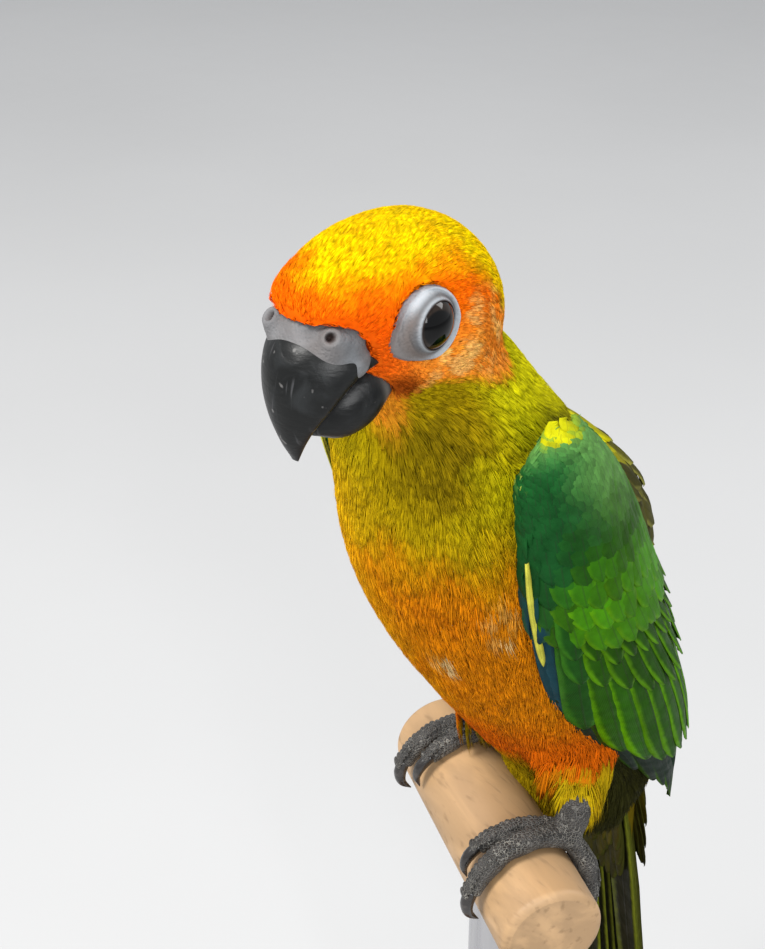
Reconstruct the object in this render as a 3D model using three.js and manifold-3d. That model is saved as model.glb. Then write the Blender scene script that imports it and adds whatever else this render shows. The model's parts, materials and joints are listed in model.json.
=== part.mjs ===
// A life-size young sun conure on a plain display stand, as a museum shows it: a small parrot that sits upright on a
// round perch, toes wrapped round it, wings folded, tail hanging and head turned a little to its left.
// Sizes are in millimetres. The bird is drawn in a frame of its own: X to its left, Y to its back, Z up, with the
// perch's top at about 8. The exported group stands on the floor, with its origin at the centre of the
// base's underside.
import * as THREE from "three";
import { mergeVertices } from "three/addons/utils/BufferGeometryUtils.js";
import Module from "manifold-3d";

const wasm = await Module();
wasm.setup();

// The gap that two touching pieces keep between their faces.
const GAP = 0.3;

// The pitch of the grid that finished points lie on.
const GRID_PITCH = 0.001;

// Stand: a round base, an upright rod and the perch that the feet grip.
const BASE_RADIUS = 60;
const BASE_HEIGHT = 12;
const BASE_EDGE = 2.5;
const ROD_RADIUS = 4;
const PERCH_RADIUS = 10;
const PERCH_LENGTH = 62;
const PERCH_EDGE = 1.5;
const PERCH_CENTRE = new THREE.Vector3(0, -5.5, -2.5);
const PERCH_YAW = 20;

// Tail: hangs from the rump, a little behind the vertical.
const TAIL_ROOT = new THREE.Vector3(0, 28.5, 2);
const TAIL_LENGTH = 132;
const TAIL_LEAN = 9.5;
const TAIL_CLEARANCE = 6;

// Head: turned about the vertical, with a frame of its own.
const HEAD_CENTRE = new THREE.Vector3(0, -32.5, 115.5);
const HEAD_YAW = 12;

// Eyes, in the head's frame.
const EYE_RADIUS = 5;
const EYE_FORWARD = 4.6;
const EYE_SIDE = 10.4;
const EYE_UP = 5.4;
const RING_DEPTH = 1.3;
const LID_RADIUS = 4.5;
const LID_TUBE = 0.5;

// Height of the bird's frame over the floor: the whole tail clears the base.
const TAIL_DROP = TAIL_LENGTH * Math.cos(THREE.MathUtils.degToRad(TAIL_LEAN)) - TAIL_ROOT.z;
const LIFT = BASE_HEIGHT + TAIL_CLEARANCE + TAIL_DROP;

const UP = new THREE.Vector3(0, 0, 1);
const LEFT = new THREE.Vector3(1, 0, 0);
const BACK = new THREE.Vector3(0, 1, 0);

const rad = THREE.MathUtils.degToRad;
const lerp = THREE.MathUtils.lerp;
const clamp = THREE.MathUtils.clamp;
const vec = (x, y, z = 0) => new THREE.Vector3(x, y, z);

// A seeded draw between -1 and 1.
function drawFrom(seed) {
  let state = seed;
  return () => {
    state = (state * 1664525 + 1013904223) % 4294967296;
    return state / 2147483648 - 1;
  };
}

// A geometry with only shared positions, as a solid that faces outwards.
function solidOf(geometry) {
  const bare = geometry.clone();
  bare.deleteAttribute("normal");
  bare.deleteAttribute("uv");
  const merged = mergeVertices(bare, 1e-4);
  const triVerts = new Uint32Array(merged.index.array);
  const vertProperties = merged.getAttribute("position").array;
  const build = () => new wasm.Manifold(new wasm.Mesh({ numProp: 3, vertProperties, triVerts }));
  const made = build();
  if (made.volume() > 0) return made;
  for (let i = 0; i < triVerts.length; i += 3) {
    [triVerts[i + 1], triVerts[i + 2]] = [triVerts[i + 2], triVerts[i + 1]];
  }
  return build();
}

// A solid back as a geometry. Points are put on a fine grid, so that no two lie closer than its pitch, and the faces
// that this flattens are left out.
function geometryOf(solid) {
  const mesh = solid.getMesh();
  const known = new Map();
  const positions = [];
  const place = Array.from({ length: mesh.numVert }, (_, i) => {
    const cell = [0, 1, 2].map((k) => Math.round(mesh.vertProperties[i * mesh.numProp + k] / GRID_PITCH));
    const key = cell.join();
    if (!known.has(key)) {
      known.set(key, positions.length / 3);
      positions.push(...cell.map((step) => step * GRID_PITCH));
    }
    return known.get(key);
  });
  const faces = new Map();
  for (let i = 0; i < mesh.triVerts.length; i += 3) {
    const face = [0, 1, 2].map((k) => place[mesh.triVerts[i + k]]);
    if (new Set(face).size < 3) continue;
    const key = [...face].sort((a, b) => a - b).join();
    if (faces.has(key)) faces.delete(key);
    else faces.set(key, face);
  }
  const geometry = new THREE.BufferGeometry();
  geometry.setAttribute("position", new THREE.Float32BufferAttribute(positions, 3));
  return geometry.setIndex([...faces.values()].flat());
}

// The largest closed surface of a solid.
function largest(solid) {
  return solid.decompose().sort((a, b) => b.volume() - a.volume())[0];
}

function union(solids) {
  return solids.reduce((sum, one) => sum.add(one));
}

function mirrored(solid) {
  return solidOf(geometryOf(solid).scale(-1, 1, 1));
}

// A closed tube whose points are placed by the share along it, the angle round it, and 1 on the wall or 0 in the
// middle of an end.
function sweep(sides, steps, place) {
  const tube = new THREE.CylinderGeometry(1, 1, 1, sides, steps);
  const position = tube.getAttribute("position");
  const point = vec(0, 0);
  for (let i = 0; i < position.count; i++) {
    point.fromBufferAttribute(position, i);
    const onWall = Math.hypot(point.x, point.z) > 0.5;
    const angle = onWall ? Math.atan2(point.x, point.z) : 0;
    const placed = place(clamp(point.y + 0.5, 0, 1), angle, onWall ? 1 : 0);
    position.setXYZ(i, placed.x, placed.y, placed.z);
  }
  return solidOf(tube);
}

// A round bar through a list of points, with a radius that is read from a list of its own.
function bar(points, radii, sides, steps, grow = 0) {
  const curve = new THREE.CatmullRomCurve3(points, false, "centripetal");
  const radiusAt = smooth(radii.map((r, i) => [r, i * 2, 0]));
  return sweep(sides, steps, (along, angle, onWall) => {
    const tangent = curve.getTangent(along);
    const side = vec(0, 0).crossVectors(tangent, Math.abs(tangent.x) > 0.9 ? BACK : LEFT).normalize();
    const other = vec(0, 0).crossVectors(side, tangent).normalize();
    const radius = onWall * (radiusAt(along).x + grow);
    return curve
      .getPoint(along)
      .addScaledVector(side, radius * Math.cos(angle))
      .addScaledVector(other, radius * Math.sin(angle))
      .addScaledVector(tangent, grow * (2 * along - 1));
  });
}

// A smooth run of values through a list of stations, read at a share from 0 to 1.
function smooth(stations) {
  const curve = new THREE.CatmullRomCurve3(stations.map((s) => vec(...s)), false, "centripetal");
  return (share) => curve.getPoint(clamp(share, 0, 1));
}

// A block that fills the side behind a plane, used as a knife.
function halfSpace(point, normal) {
  const size = 400;
  const block = new THREE.BoxGeometry(size, size, size).translate(0, 0, -size / 2);
  block.applyQuaternion(new THREE.Quaternion().setFromUnitVectors(UP, normal.clone().normalize()));
  return solidOf(block.translate(point.x, point.y, point.z));
}

// Torso and neck as one form along the spine. Each station has the middle's y and z, the half width, and the depth to
// the breast and to the back.
const BODY = [
  [27, -16, 2.5, 2, 2],
  [27, -11, 6.5, 5, 4.5],
  [26, -4, 10.5, 12.4, 9],
  [21.5, 6, 15, 15, 12.5],
  [14.5, 20, 19, 18, 15],
  [7, 35, 22.5, 21, 17],
  [-1, 51, 25, 23.5, 19.5],
  [-8.5, 66, 26, 24.5, 22.5],
  [-15, 80, 24, 23.5, 23],
  [-20, 91, 20, 20.5, 20],
  [-24, 100, 17.5, 18, 18],
  [-27, 108, 14, 14, 15],
];
const spineAt = smooth(BODY.map(([y, z]) => [0, y, z]));
const girthAt = smooth(BODY.map(([, , ...girth]) => girth));
const NECK_SHARE = 0.745;
const BACK_RIDGE = 0.28;

// The middle of the body, the way up the spine and the way out of the breast, at a share of its length.
function bodyFrame(share) {
  const step = 0.01;
  const middle = spineAt(share);
  const along = spineAt(share + step).sub(spineAt(share - step)).normalize();
  const front = vec(0, 0).crossVectors(along, LEFT).normalize();
  if (front.y > 0) front.negate();
  return { middle, along, front, girth: girthAt(share) };
}

function bodySolid(grow, sides = 28, steps = 20) {
  return sweep(sides, steps, (share, angle, onWall) => {
    const { middle, along, front, girth } = bodyFrame(share);
    const depth = (Math.cos(angle) > 0 ? girth.y : girth.z) + grow;
    const ridge = 1 - BACK_RIDGE * Math.min(Math.cos(angle), 0) ** 2;
    return middle
      .addScaledVector(LEFT, onWall * (girth.x + grow) * Math.sin(angle) * ridge)
      .addScaledVector(front, onWall * depth * Math.cos(angle))
      .addScaledVector(along, grow * (2 * share - 1));
  });
}

// The mantle: a soft swelling of loose feathers on the back between the wings. Each station has y, z, half width and
// depth outwards from the body.
const MANTLE = [
  [-5, 94, 5, 2.5],
  [-1, 89, 11, 3.8],
  [5, 81, 14.5, 6.6],
  [10, 73, 15.5, 9],
  [14, 63.5, 15, 9.6],
  [18, 53, 12.5, 6.6],
  [20.5, 43, 8, 3],
];
const mantleLineAt = smooth(MANTLE.map(([y, z]) => [0, y, z]));
const mantleSizeAt = smooth(MANTLE.map(([, , width, depth]) => [width, depth, 0]));

function mantleSolid(grow) {
  return sweep(14, 8, (share, angle, onWall) => {
    const step = 0.01;
    const middle = mantleLineAt(share);
    const along = mantleLineAt(share + step).sub(mantleLineAt(share - step)).normalize();
    const out = vec(0, 0).crossVectors(LEFT, along).normalize();
    if (out.y < 0) out.negate();
    const size = mantleSizeAt(share);
    return middle
      .addScaledVector(LEFT, onWall * (size.x + grow) * Math.sin(angle))
      .addScaledVector(out, onWall * (size.y + grow) * Math.cos(angle))
      .addScaledVector(along, grow * (2 * share - 1));
  });
}

const trunkSolid = (grow) => bodySolid(grow).add(mantleSolid(grow));

// A point in the head's frame: forward along the bill, to the bird's left, and up.
const headForward = BACK.clone().negate().applyAxisAngle(UP, rad(HEAD_YAW));
const headLeft = LEFT.clone().applyAxisAngle(UP, rad(HEAD_YAW));

function inHead(forward, left, up) {
  return HEAD_CENTRE.clone()
    .addScaledVector(headForward, forward)
    .addScaledVector(headLeft, left)
    .addScaledVector(UP, up);
}

// The feathered head from nape to forehead: forward, top, bottom, half width, and how far it narrows downwards.
const HEAD = [
  [-20.5, 3, -1, 2, 0],
  [-19, 8.6, -7, 8, 0],
  [-15, 13.6, -13, 12.4, 0],
  [-9, 17.1, -16.5, 14.7, 0],
  [-2, 18.5, -17, 15.5, 0.05],
  [5, 18.4, -15.5, 14.9, 0.12],
  [10, 17.8, -12, 12.8, 0.32],
  [13.5, 16.9, -5.5, 10.8, 0.42],
  [16.5, 15.8, -1, 9.4, 0.36],
  [18.8, 14.3, 2, 8.1, 0.28],
  [20.6, 12.4, 5, 5.6, 0.1],
  [21.4, 10.4, 7.6, 2.4, 0],
];
const headLineAt = smooth(HEAD.map(([forward, top, bottom]) => [forward, top, bottom]));
const headWidthAt = smooth(HEAD.map(([forward, , , width, taper]) => [forward, width, taper]));

function headSolid(grow, sides = 20, steps = 14) {
  return sweep(sides, steps, (along, angle, onWall) => {
    const line = headLineAt(along);
    const { y: wide, z: taper } = headWidthAt(along);
    const middle = (line.y + line.z) / 2;
    const half = (line.y - line.z) / 2 + grow;
    const low = Math.min(Math.cos(angle), 0);
    return inHead(
      line.x + grow * (2 * along - 1),
      onWall * (wide + grow) * Math.sin(angle) * (1 - taper * low * low),
      middle + onWall * half * Math.cos(angle),
    );
  });
}

// Upper bill: the ridge and the cutting edge, each as forward and up, with half width.
const RIDGE = [
  [16, 4.6],
  [20.6, 5],
  [23.2, 2.2],
  [24.5, -2.6],
  [24.6, -7.2],
  [23.8, -11.2],
  [21.8, -15],
];
const CUTTING_EDGE = [
  [11.8, -0.4],
  [14.5, -1.8],
  [16.8, -3.9],
  [19, -6.3],
  [20.5, -8.8],
  [20.9, -11.8],
  [21.5, -15.1],
];
const UPPER_WIDTH = [9.2, 8.7, 7.7, 6.2, 4.3, 2.3, 0.6];
const ridgeAt = smooth(RIDGE.map(([forward, up], i) => [forward, up, i]));
const edgeAt = smooth(CUTTING_EDGE.map(([forward, up], i) => [forward, up, i]));
const upperWidthAt = smooth(UPPER_WIDTH.map((width, i) => [width, i * 3, 0]));

function upperBill(grow, sides = 20, steps = 12) {
  return sweep(sides, steps, (along, angle, onWall) => {
    const ridge = ridgeAt(along);
    const edge = edgeAt(along);
    const width = upperWidthAt(along).x + grow;
    const out = vec(ridge.x - edge.x, ridge.y - edge.y).normalize();
    const share = 0.5 + 0.5 * onWall * Math.cos(angle);
    const swell = Math.sign(Math.sin(angle)) * Math.abs(Math.sin(angle)) ** 0.9;
    return inHead(
      lerp(edge.x - grow * out.x, ridge.x + grow * out.x, share),
      onWall * width * swell * (1 - 0.25 * Math.cos(angle)),
      lerp(edge.y - grow * out.y, ridge.y + grow * out.y, share),
    );
  });
}

// Lower bill: short and deep, nested inside the upper one.
const LOWER_TOP = [
  [9.2, 0],
  [13.2, -1.9],
  [16.8, -5.4],
  [19.4, -9.4],
];
const LOWER_KEEL = [
  [8.4, -8.6],
  [11.2, -12],
  [15, -13],
  [18.9, -11.6],
];
const LOWER_WIDTH = [8.7, 8.2, 6.4, 2.8];
const lowerTopAt = smooth(LOWER_TOP.map(([forward, up]) => [forward, up, 0]));
const keelAt = smooth(LOWER_KEEL.map(([forward, up]) => [forward, up, 0]));
const lowerWidthAt = smooth(LOWER_WIDTH.map((width, i) => [width, i * 3, 0]));

function lowerBill(grow, sides = 16, steps = 7) {
  return sweep(sides, steps, (along, angle, onWall) => {
    const top = lowerTopAt(along);
    const keel = keelAt(along);
    const share = 0.5 + 0.5 * onWall * Math.cos(angle);
    return inHead(
      lerp(keel.x, top.x, share) + grow * (2 * along - 1),
      onWall * (lowerWidthAt(along).x + grow) * Math.sign(Math.sin(angle)) * Math.abs(Math.sin(angle)) ** 0.6,
      lerp(keel.y - grow, top.y + grow, share),
    );
  });
}

// The cere: a bare swelling between the forehead and the upper bill, with a nostril on each side.
const CERE = { forward: 16.4, up: 4, length: 6.6, width: 8.7, height: 4.5, tilt: 46 };
const SWELLING = { forward: 18.1, side: 5.3, up: 4.8, radius: 2.9 };
const NOSTRIL = { forward: 20.1, side: 6.1, up: 6.8, radius: 1 };

function cereSolid(grow) {
  const ball = new THREE.SphereGeometry(1, 14, 9);
  ball.scale(CERE.width + grow, CERE.length + grow, CERE.height + grow);
  const turn = new THREE.Matrix4().makeBasis(headLeft, headForward.clone().negate(), UP);
  ball.rotateX(rad(CERE.tilt));
  ball.applyMatrix4(turn);
  const centre = inHead(CERE.forward, 0, CERE.up);
  const { forward, side, up, radius } = SWELLING;
  const lumps = [1, -1].map((hand) => headBall(forward, hand * side, up, radius + grow, 10));
  return union([solidOf(ball.translate(centre.x, centre.y, centre.z)), ...lumps]);
}

// Small ball in the head's frame.
function headBall(forward, left, up, radius, sides = 16) {
  const centre = inHead(forward, left, up);
  const ball = new THREE.SphereGeometry(radius, sides, Math.round(sides * 0.6));
  ball.rotateX(Math.PI / 2);
  return solidOf(ball.translate(centre.x, centre.y, centre.z));
}

// The bare skin round the eye: a drop-shaped patch of the head's surface, pointed towards the bill.
const RING = { front: 7.8, back: 5.6, top: 5.4, bottom: 5.3, droop: 2.2 };

function ringPrism(side, grow) {
  return sweep(16, 1, (along, angle, onWall) => {
    const cos = Math.cos(angle);
    const sin = Math.sin(angle);
    const reach = cos > 0 ? RING.front : RING.back;
    const rise = sin > 0 ? RING.top : RING.bottom;
    const pinch = cos > 0 ? 1 - 0.3 * cos * cos : 1;
    return inHead(
      EYE_FORWARD + onWall * (reach + grow) * cos,
      side * lerp(4, 30, along),
      EYE_UP - (cos > 0 ? RING.droop * cos * cos : 0) * onWall + onWall * (rise + grow) * sin * pinch,
    );
  });
}

function eyeRing(side, grow) {
  const skin = headSolid(0.25 + grow).subtract(headSolid(-RING_DEPTH - grow));
  return skin.intersect(ringPrism(side, grow));
}

function eyeLid(side) {
  const out = headLeft.clone().multiplyScalar(side).addScaledVector(headForward, 0.24).addScaledVector(UP, 0.1);
  const torus = new THREE.TorusGeometry(LID_RADIUS, LID_TUBE, 5, 14);
  torus.applyQuaternion(new THREE.Quaternion().setFromUnitVectors(UP, out.normalize()));
  const centre = inHead(EYE_FORWARD, side * EYE_SIDE, EYE_UP).addScaledVector(out, 2.9);
  return solidOf(torus.translate(centre.x, centre.y, centre.z)).subtract(headSolid(-RING_DEPTH));
}

// The folded left wing as a curved sheet. Each row runs down the wing: leading edge, outermost line, trailing edge.
const WING = [
  [[25.5, -24.6, 103.6], [26.5, -17.5, 104.8], [23.5, -12, 101.5]],
  [[28, -28.6, 98], [31, -17, 99], [22, -3.5, 94.5]],
  [[28.8, -27.6, 87], [32, -12, 86.5], [18.5, 6, 84.5]],
  [[27.4, -23.8, 72], [31.8, -6, 71.5], [14.5, 15.5, 68.5]],
  [[26, -18.8, 58], [31.2, 1.2, 57], [11.2, 23.4, 54.2]],
  [[23.2, -11.6, 44], [30, 9, 42.5], [9.5, 30.2, 39]],
  [[19.8, -1.5, 29], [26.5, 17, 27], [8.2, 36.3, 23.6]],
  [[15.6, 11.5, 14], [21.6, 24.5, 11.5], [7, 39.5, 7.5]],
  [[12.8, 22, 1], [16.6, 30.6, -0.5], [7, 41, -4]],
  [[10.5, 32.5, -12.5], [12.5, 35.5, -13.5], [7.5, 39.5, -15]],
];
const rowLines = [0, 1, 2].map(
  (line) => new THREE.CatmullRomCurve3(WING.map((row) => vec(...row[line])), false, "centripetal"),
);

// A point on the sheet, sunk by a depth: along from shoulder to tip, across from the leading to the trailing edge.
function wingPoint(along, across, depth = 0) {
  const at = (u, v) => {
    const [lead, middle, trail] = rowLines.map((line) => line.getPoint(clamp(u, 0, 1)));
    return lead
      .multiplyScalar(2 * (v - 0.5) * (v - 1))
      .addScaledVector(middle, 4 * v * (1 - v))
      .addScaledVector(trail, 2 * v * (v - 0.5));
  };
  const step = 0.01;
  const point = at(along, across);
  const down = at(Math.min(along + step, 1), across).sub(at(Math.max(along - step, 0), across));
  const over = at(along, across + step).sub(at(along, across - step));
  return point.addScaledVector(vec(0, 0).crossVectors(down, over).normalize(), -depth);
}

// The wing's body: arm and small coverts as one smooth form that thins out downwards.
const ARM_END = 0.37;
const ARM_THICKNESS = [5, 9, 11, 12, 11.5, 10, 7.5];
const SHOULDER = 0.25;
const armThicknessAt = smooth(ARM_THICKNESS.map((thick, i) => [thick, i * 4, 0]));

function wingArm() {
  return sweep(18, 9, (share, angle, onWall) => {
    const along = lerp(0, ARM_END, share);
    const thick = armThicknessAt(share).x;
    const round = share < SHOULDER ? Math.sqrt(1 - 0.6 * (1 - share / SHOULDER) ** 2) : 1;
    const across = 0.5 - 0.53 * onWall * round * Math.cos(angle);
    const flat = Math.sign(Math.sin(angle)) * Math.abs(Math.sin(angle)) ** 0.55;
    return wingPoint(along, across, (thick / 2) * (1 - onWall * flat));
  });
}

// One feather's vane on the wing sheet: a thin blade with two points on each face at every step. Depth, tilt and
// thickness run from root to tip.
function vane({ from, to, width, narrow, depth, tilt, steps, thick = [0.65, 0.5], tip = 0.45 }) {
  const rings = [];
  for (let i = 0; i <= steps; i++) {
    const share = i / steps;
    const along = lerp(from[0], to[0], share);
    const across = lerp(from[1], to[1], share);
    const unit = wingPoint(along, across + 0.05).distanceTo(wingPoint(along, across)) / 0.05;
    const round = share > 0.7 ? Math.sqrt(1 - ((share - 0.7) / 0.3) ** 2 * (1 - tip * tip)) : 1;
    const half = (width / 2 / unit) * round * lerp(0.75, 1, Math.min(1, share * 2.5)) * lerp(1, narrow, share);
    const body = lerp(...thick, share) / 2;
    const edge = (side, face) =>
      wingPoint(along, across + side * half, lerp(...depth, share) + side * lerp(...tilt, share) * round + face * body);
    rings.push([edge(-1, -1), edge(1, -1), edge(1, 1), edge(-1, 1)]);
  }
  return bladeSolid(rings);
}

// A closed blade through rings of four points: two on the outer face, then two on the inner one.
function bladeSolid(rings) {
  const positions = rings.flat().flatMap((p) => [p.x, p.y, p.z]);
  const index = [];
  for (let i = 0; i + 1 < rings.length; i++) {
    const [a, b, c, d] = [0, 1, 2, 3].map((j) => i * 4 + j);
    const [e, f, g, h] = [4, 5, 6, 7].map((j) => i * 4 + j);
    index.push(a, b, f, a, f, e);
    index.push(c, d, g, g, d, h);
    index.push(b, c, g, b, g, f);
    index.push(d, a, e, d, e, h);
  }
  const last = (rings.length - 1) * 4;
  index.push(0, 2, 1, 0, 3, 2);
  index.push(last, last + 1, last + 2, last, last + 2, last + 3);
  const blade = new THREE.BufferGeometry();
  blade.setAttribute("position", new THREE.BufferAttribute(new Float32Array(positions), 3));
  blade.setIndex(index);
  return solidOf(blade);
}

// Feather tiers of the folded wing, from the outside in. Each runs across the wing from the leading edge back.
const MEDIAN = { count: 6, width: 8.6, narrow: 0.95, depth: [1.6, 0.5], tilt: [0.3, 0.5], steps: 3, seed: 41 };
const GREATER = { count: 7, width: 8, narrow: 0.9, depth: [2.6, 1.7], tilt: [0.3, 0.55], steps: 3, seed: 37 };
const SECONDARIES = { count: 8, width: 8, narrow: 0.86, depth: [3.7, 2.9], tilt: [0.3, 0.7], steps: 4, seed: 23 };
const PRIMARY_COVERTS = { count: 2, width: 5, narrow: 0.9, depth: [3, 2.4], tilt: [0.2, 0.3], steps: 3, seed: 53 };
const PRIMARIES = { count: 5, width: 8.4, narrow: 0.8, depth: [3.9, 3.2], tilt: [0.3, 0.7], steps: 4, seed: 15 };

// The curve that a tier's tips follow: the share down the wing, at even steps from leading to trailing edge.
const tipsAt = (shares) => smooth(shares.map((share, i) => [share, i * 0.2, 0]));
const MEDIAN_TIPS = tipsAt([0.385, 0.4, 0.415, 0.42, 0.425, 0.43, 0.43, 0.43]);
const GREATER_TIPS = tipsAt([0.47, 0.485, 0.505, 0.51, 0.52, 0.53, 0.53, 0.53]);
const SECONDARY_TIPS = tipsAt([0.62, 0.7, 0.728, 0.728, 0.718, 0.715, 0.72, 0.725]);
const PRIMARY_TIPS = tipsAt([0.74, 0.84, 0.91, 0.96, 0.99, 1]);

function tier(spec, place) {
  const draw = drawFrom(spec.seed);
  return Array.from({ length: spec.count }, (_, i) => {
    const { from, to } = place(i / (spec.count - 1));
    return vane({
      ...spec,
      from,
      to: [Math.min(1, to[0] + 0.006 * draw()), to[1] + 0.006 * draw()],
      width: spec.width * (1 + 0.05 * draw()),
    });
  });
}

function leftWing() {
  return largest(
    union([
      wingArm(),
      ...tier(MEDIAN, (v) => ({ from: [0.29, lerp(0.12, 0.88, v)], to: [MEDIAN_TIPS(v).x, lerp(0.09, 0.92, v)] })),
      ...tier(GREATER, (v) => ({ from: [0.31, lerp(0.12, 0.88, v)], to: [GREATER_TIPS(v).x, lerp(0.09, 0.93, v)] })),
      ...tier(SECONDARIES, (v) => ({ from: [0.31, lerp(0.16, 0.86, v)], to: [SECONDARY_TIPS(v).x, lerp(0.06, 0.92, v)] })),
      ...tier(PRIMARY_COVERTS, (v) => ({ from: [0.32, lerp(0.1, 0.2, v)], to: [lerp(0.62, 0.58, v), lerp(0.04, 0.12, v)] })),
      ...tier(PRIMARIES, (v) => ({ from: [0.32, lerp(0.14, 0.6, v)], to: [PRIMARY_TIPS(v).x, lerp(0.06, 0.7, v)] })),
    ]),
  );
}

// Tail: overlapping vanes in pairs, the middle pair longest and lying on top, the outer ones shorter and beneath.
const TAIL_PAIRS = [
  { length: 1, side: 1.6, spread: 1.5, layer: 0 },
  { length: 0.93, side: 2.6, spread: 3.4, layer: 1 },
  { length: 0.84, side: 3.6, spread: 5.2, layer: 2 },
  { length: 0.74, side: 4.4, spread: 6.8, layer: 3 },
  { length: 0.63, side: 5.2, spread: 8, layer: 4 },
];
const TAIL_WIDTH = 9.6;
const TAIL_LAYER = 1.3;
const tailDown = UP.clone().negate().applyAxisAngle(LEFT, rad(TAIL_LEAN));
const tailTop = vec(0, 0).crossVectors(tailDown, LEFT).normalize();
if (tailTop.y < 0) tailTop.negate();

function tailVane(pair, side) {
  const steps = 4;
  const length = TAIL_LENGTH * pair.length;
  const layer = pair.layer * TAIL_LAYER + (side > 0 ? 0 : TAIL_LAYER / 2);
  const rings = [];
  for (let i = 0; i <= steps; i++) {
    const share = i / steps;
    const round = share > 0.6 ? lerp(1, 0.16, ((share - 0.6) / 0.4) ** 1.7) : 1;
    const half = (TAIL_WIDTH / 2) * round * lerp(0.75, 1, Math.min(1, share * 3));
    const middle = side * lerp(pair.side, pair.spread * 0.62 + 1, share);
    const body = lerp(0.56, 0.5, share);
    const at = (offset, rise) =>
      TAIL_ROOT.clone()
        .addScaledVector(tailDown, length * share)
        .addScaledVector(LEFT, middle + offset)
        .addScaledVector(tailTop, rise - layer - 0.014 * (middle + offset) ** 2);
    rings.push([at(-half, body / 2), at(half, body / 2), at(half, -body / 2), at(-half, -body / 2)]);
  }
  return bladeSolid(rings);
}

// The tail's root and its coverts, as a short tapering form.
function tailRoot() {
  const length = 40;
  return sweep(16, 5, (share, angle, onWall) => {
    const half = lerp(8.2, 5.5, share ** 1.5);
    const thick = lerp(5.6, 2.4, share);
    return TAIL_ROOT.clone()
      .addScaledVector(tailDown, -3 + length * share)
      .addScaledVector(LEFT, onWall * half * Math.sin(angle))
      .addScaledVector(tailTop, onWall * thick * Math.cos(angle) - 2.6);
  });
}

function tailSolid() {
  const vanes = TAIL_PAIRS.flatMap((pair) => [tailVane(pair, -1), tailVane(pair, 1)]);
  return largest(union([tailRoot(), ...vanes]));
}

// Legs: a feathered thigh, a bare scaly foot with two toes forward and two back, and a claw on each toe.
const LEG_X = 16.5;
const TOE_LIFT = PERCH_RADIUS + 2.4;
const PALM_TURN = -38;
const TOES = [
  { name: "front_outer", from: 1, to: 3.2, turn: 72, radius: 2.1 },
  { name: "front_inner", from: -1.2, to: -2.8, turn: 44, radius: 1.9 },
  { name: "hind_outer", from: 1.4, to: 3.8, turn: -122, radius: 2 },
  { name: "hind_inner", from: -1.4, to: -3.6, turn: -96, radius: 1.8 },
];
const CLAW_TURN = 34;
const perchAxis = LEFT.clone().applyAxisAngle(UP, rad(-PERCH_YAW));
const perchFront = BACK.clone().negate().applyAxisAngle(UP, rad(-PERCH_YAW));

// A point round the perch: along it from its middle, turned from its top towards the front, and out from its axis.
function roundPerch(side, turn, reach) {
  return PERCH_CENTRE.clone()
    .addScaledVector(perchAxis, side)
    .addScaledVector(perchFront, reach * Math.sin(rad(turn)))
    .addScaledVector(UP, reach * Math.cos(rad(turn)));
}

function toe({ from, to, turn, radius }, foot, grow = 0) {
  const steps = 5;
  const points = Array.from({ length: steps + 1 }, (_, i) => {
    const share = i / steps;
    const rise = share === 0 ? 0.7 : 0;
    const side = foot * (LEG_X + lerp(from, to, share));
    return roundPerch(side, lerp(PALM_TURN, turn, share), TOE_LIFT + rise - (2.4 - radius - 0.3) * share);
  });
  return bar(points, [radius * 1.15, radius, radius * 1.06, radius, radius * 0.96, radius * 0.82], 8, 6, grow);
}

function claw({ to, turn, radius }, foot) {
  const sign = Math.sign(turn - PALM_TURN);
  const points = [-0.1, 0.3, 0.65, 1].map((share) =>
    roundPerch(
      foot * (LEG_X + to),
      turn + sign * CLAW_TURN * share,
      PERCH_RADIUS + lerp(radius + 0.5, 0.9, share) + 1.1 * Math.sin(Math.PI * clamp(share, 0, 1)),
    ),
  );
  return bar(points, [radius * 0.62, radius * 0.62, radius * 0.42, 0.2], 6, 4);
}

// The bare shank, from inside the thigh down to the palm.
function shankPoints(foot) {
  const palm = roundPerch(foot * LEG_X, PALM_TURN, TOE_LIFT + 0.6);
  return [vec(foot * 15.5, 8, 27), vec(foot * 16, 6.5, 20), vec(palm.x, palm.y + 3, palm.z + 6), palm];
}

function footSolid(foot) {
  const shank = bar(shankPoints(foot), [3.2, 3.1, 3.5, 2.8], 12, 6);
  return largest(union([shank, ...TOES.map((one) => toe(one, foot))]));
}

function thighSolid(foot, grow) {
  const ankle = shankPoints(foot)[2];
  const points = [vec(foot * 11, 8, 40), vec(foot * 12, 5, 31), vec(foot * 14, 4.6, 22), ankle.setZ(ankle.z + 2.5)];
  return bar(points, [9, 8.4, 6.4, 4.2], 14, 7, grow);
}

// Stand.
function standBase() {
  const profile = [
    [0, 0],
    [BASE_RADIUS - BASE_EDGE * 0.4, 0],
    [BASE_RADIUS, BASE_EDGE * 0.4],
    [BASE_RADIUS, BASE_HEIGHT - BASE_EDGE],
    [BASE_RADIUS - BASE_EDGE * 0.3, BASE_HEIGHT - BASE_EDGE * 0.3],
    [BASE_RADIUS - BASE_EDGE, BASE_HEIGHT],
    [0, BASE_HEIGHT],
  ].map(([x, y]) => new THREE.Vector2(x, y));
  return solidOf(
    new THREE.LatheGeometry(profile, 48).rotateX(Math.PI / 2).translate(PERCH_CENTRE.x, PERCH_CENTRE.y, -LIFT),
  );
}

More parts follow.
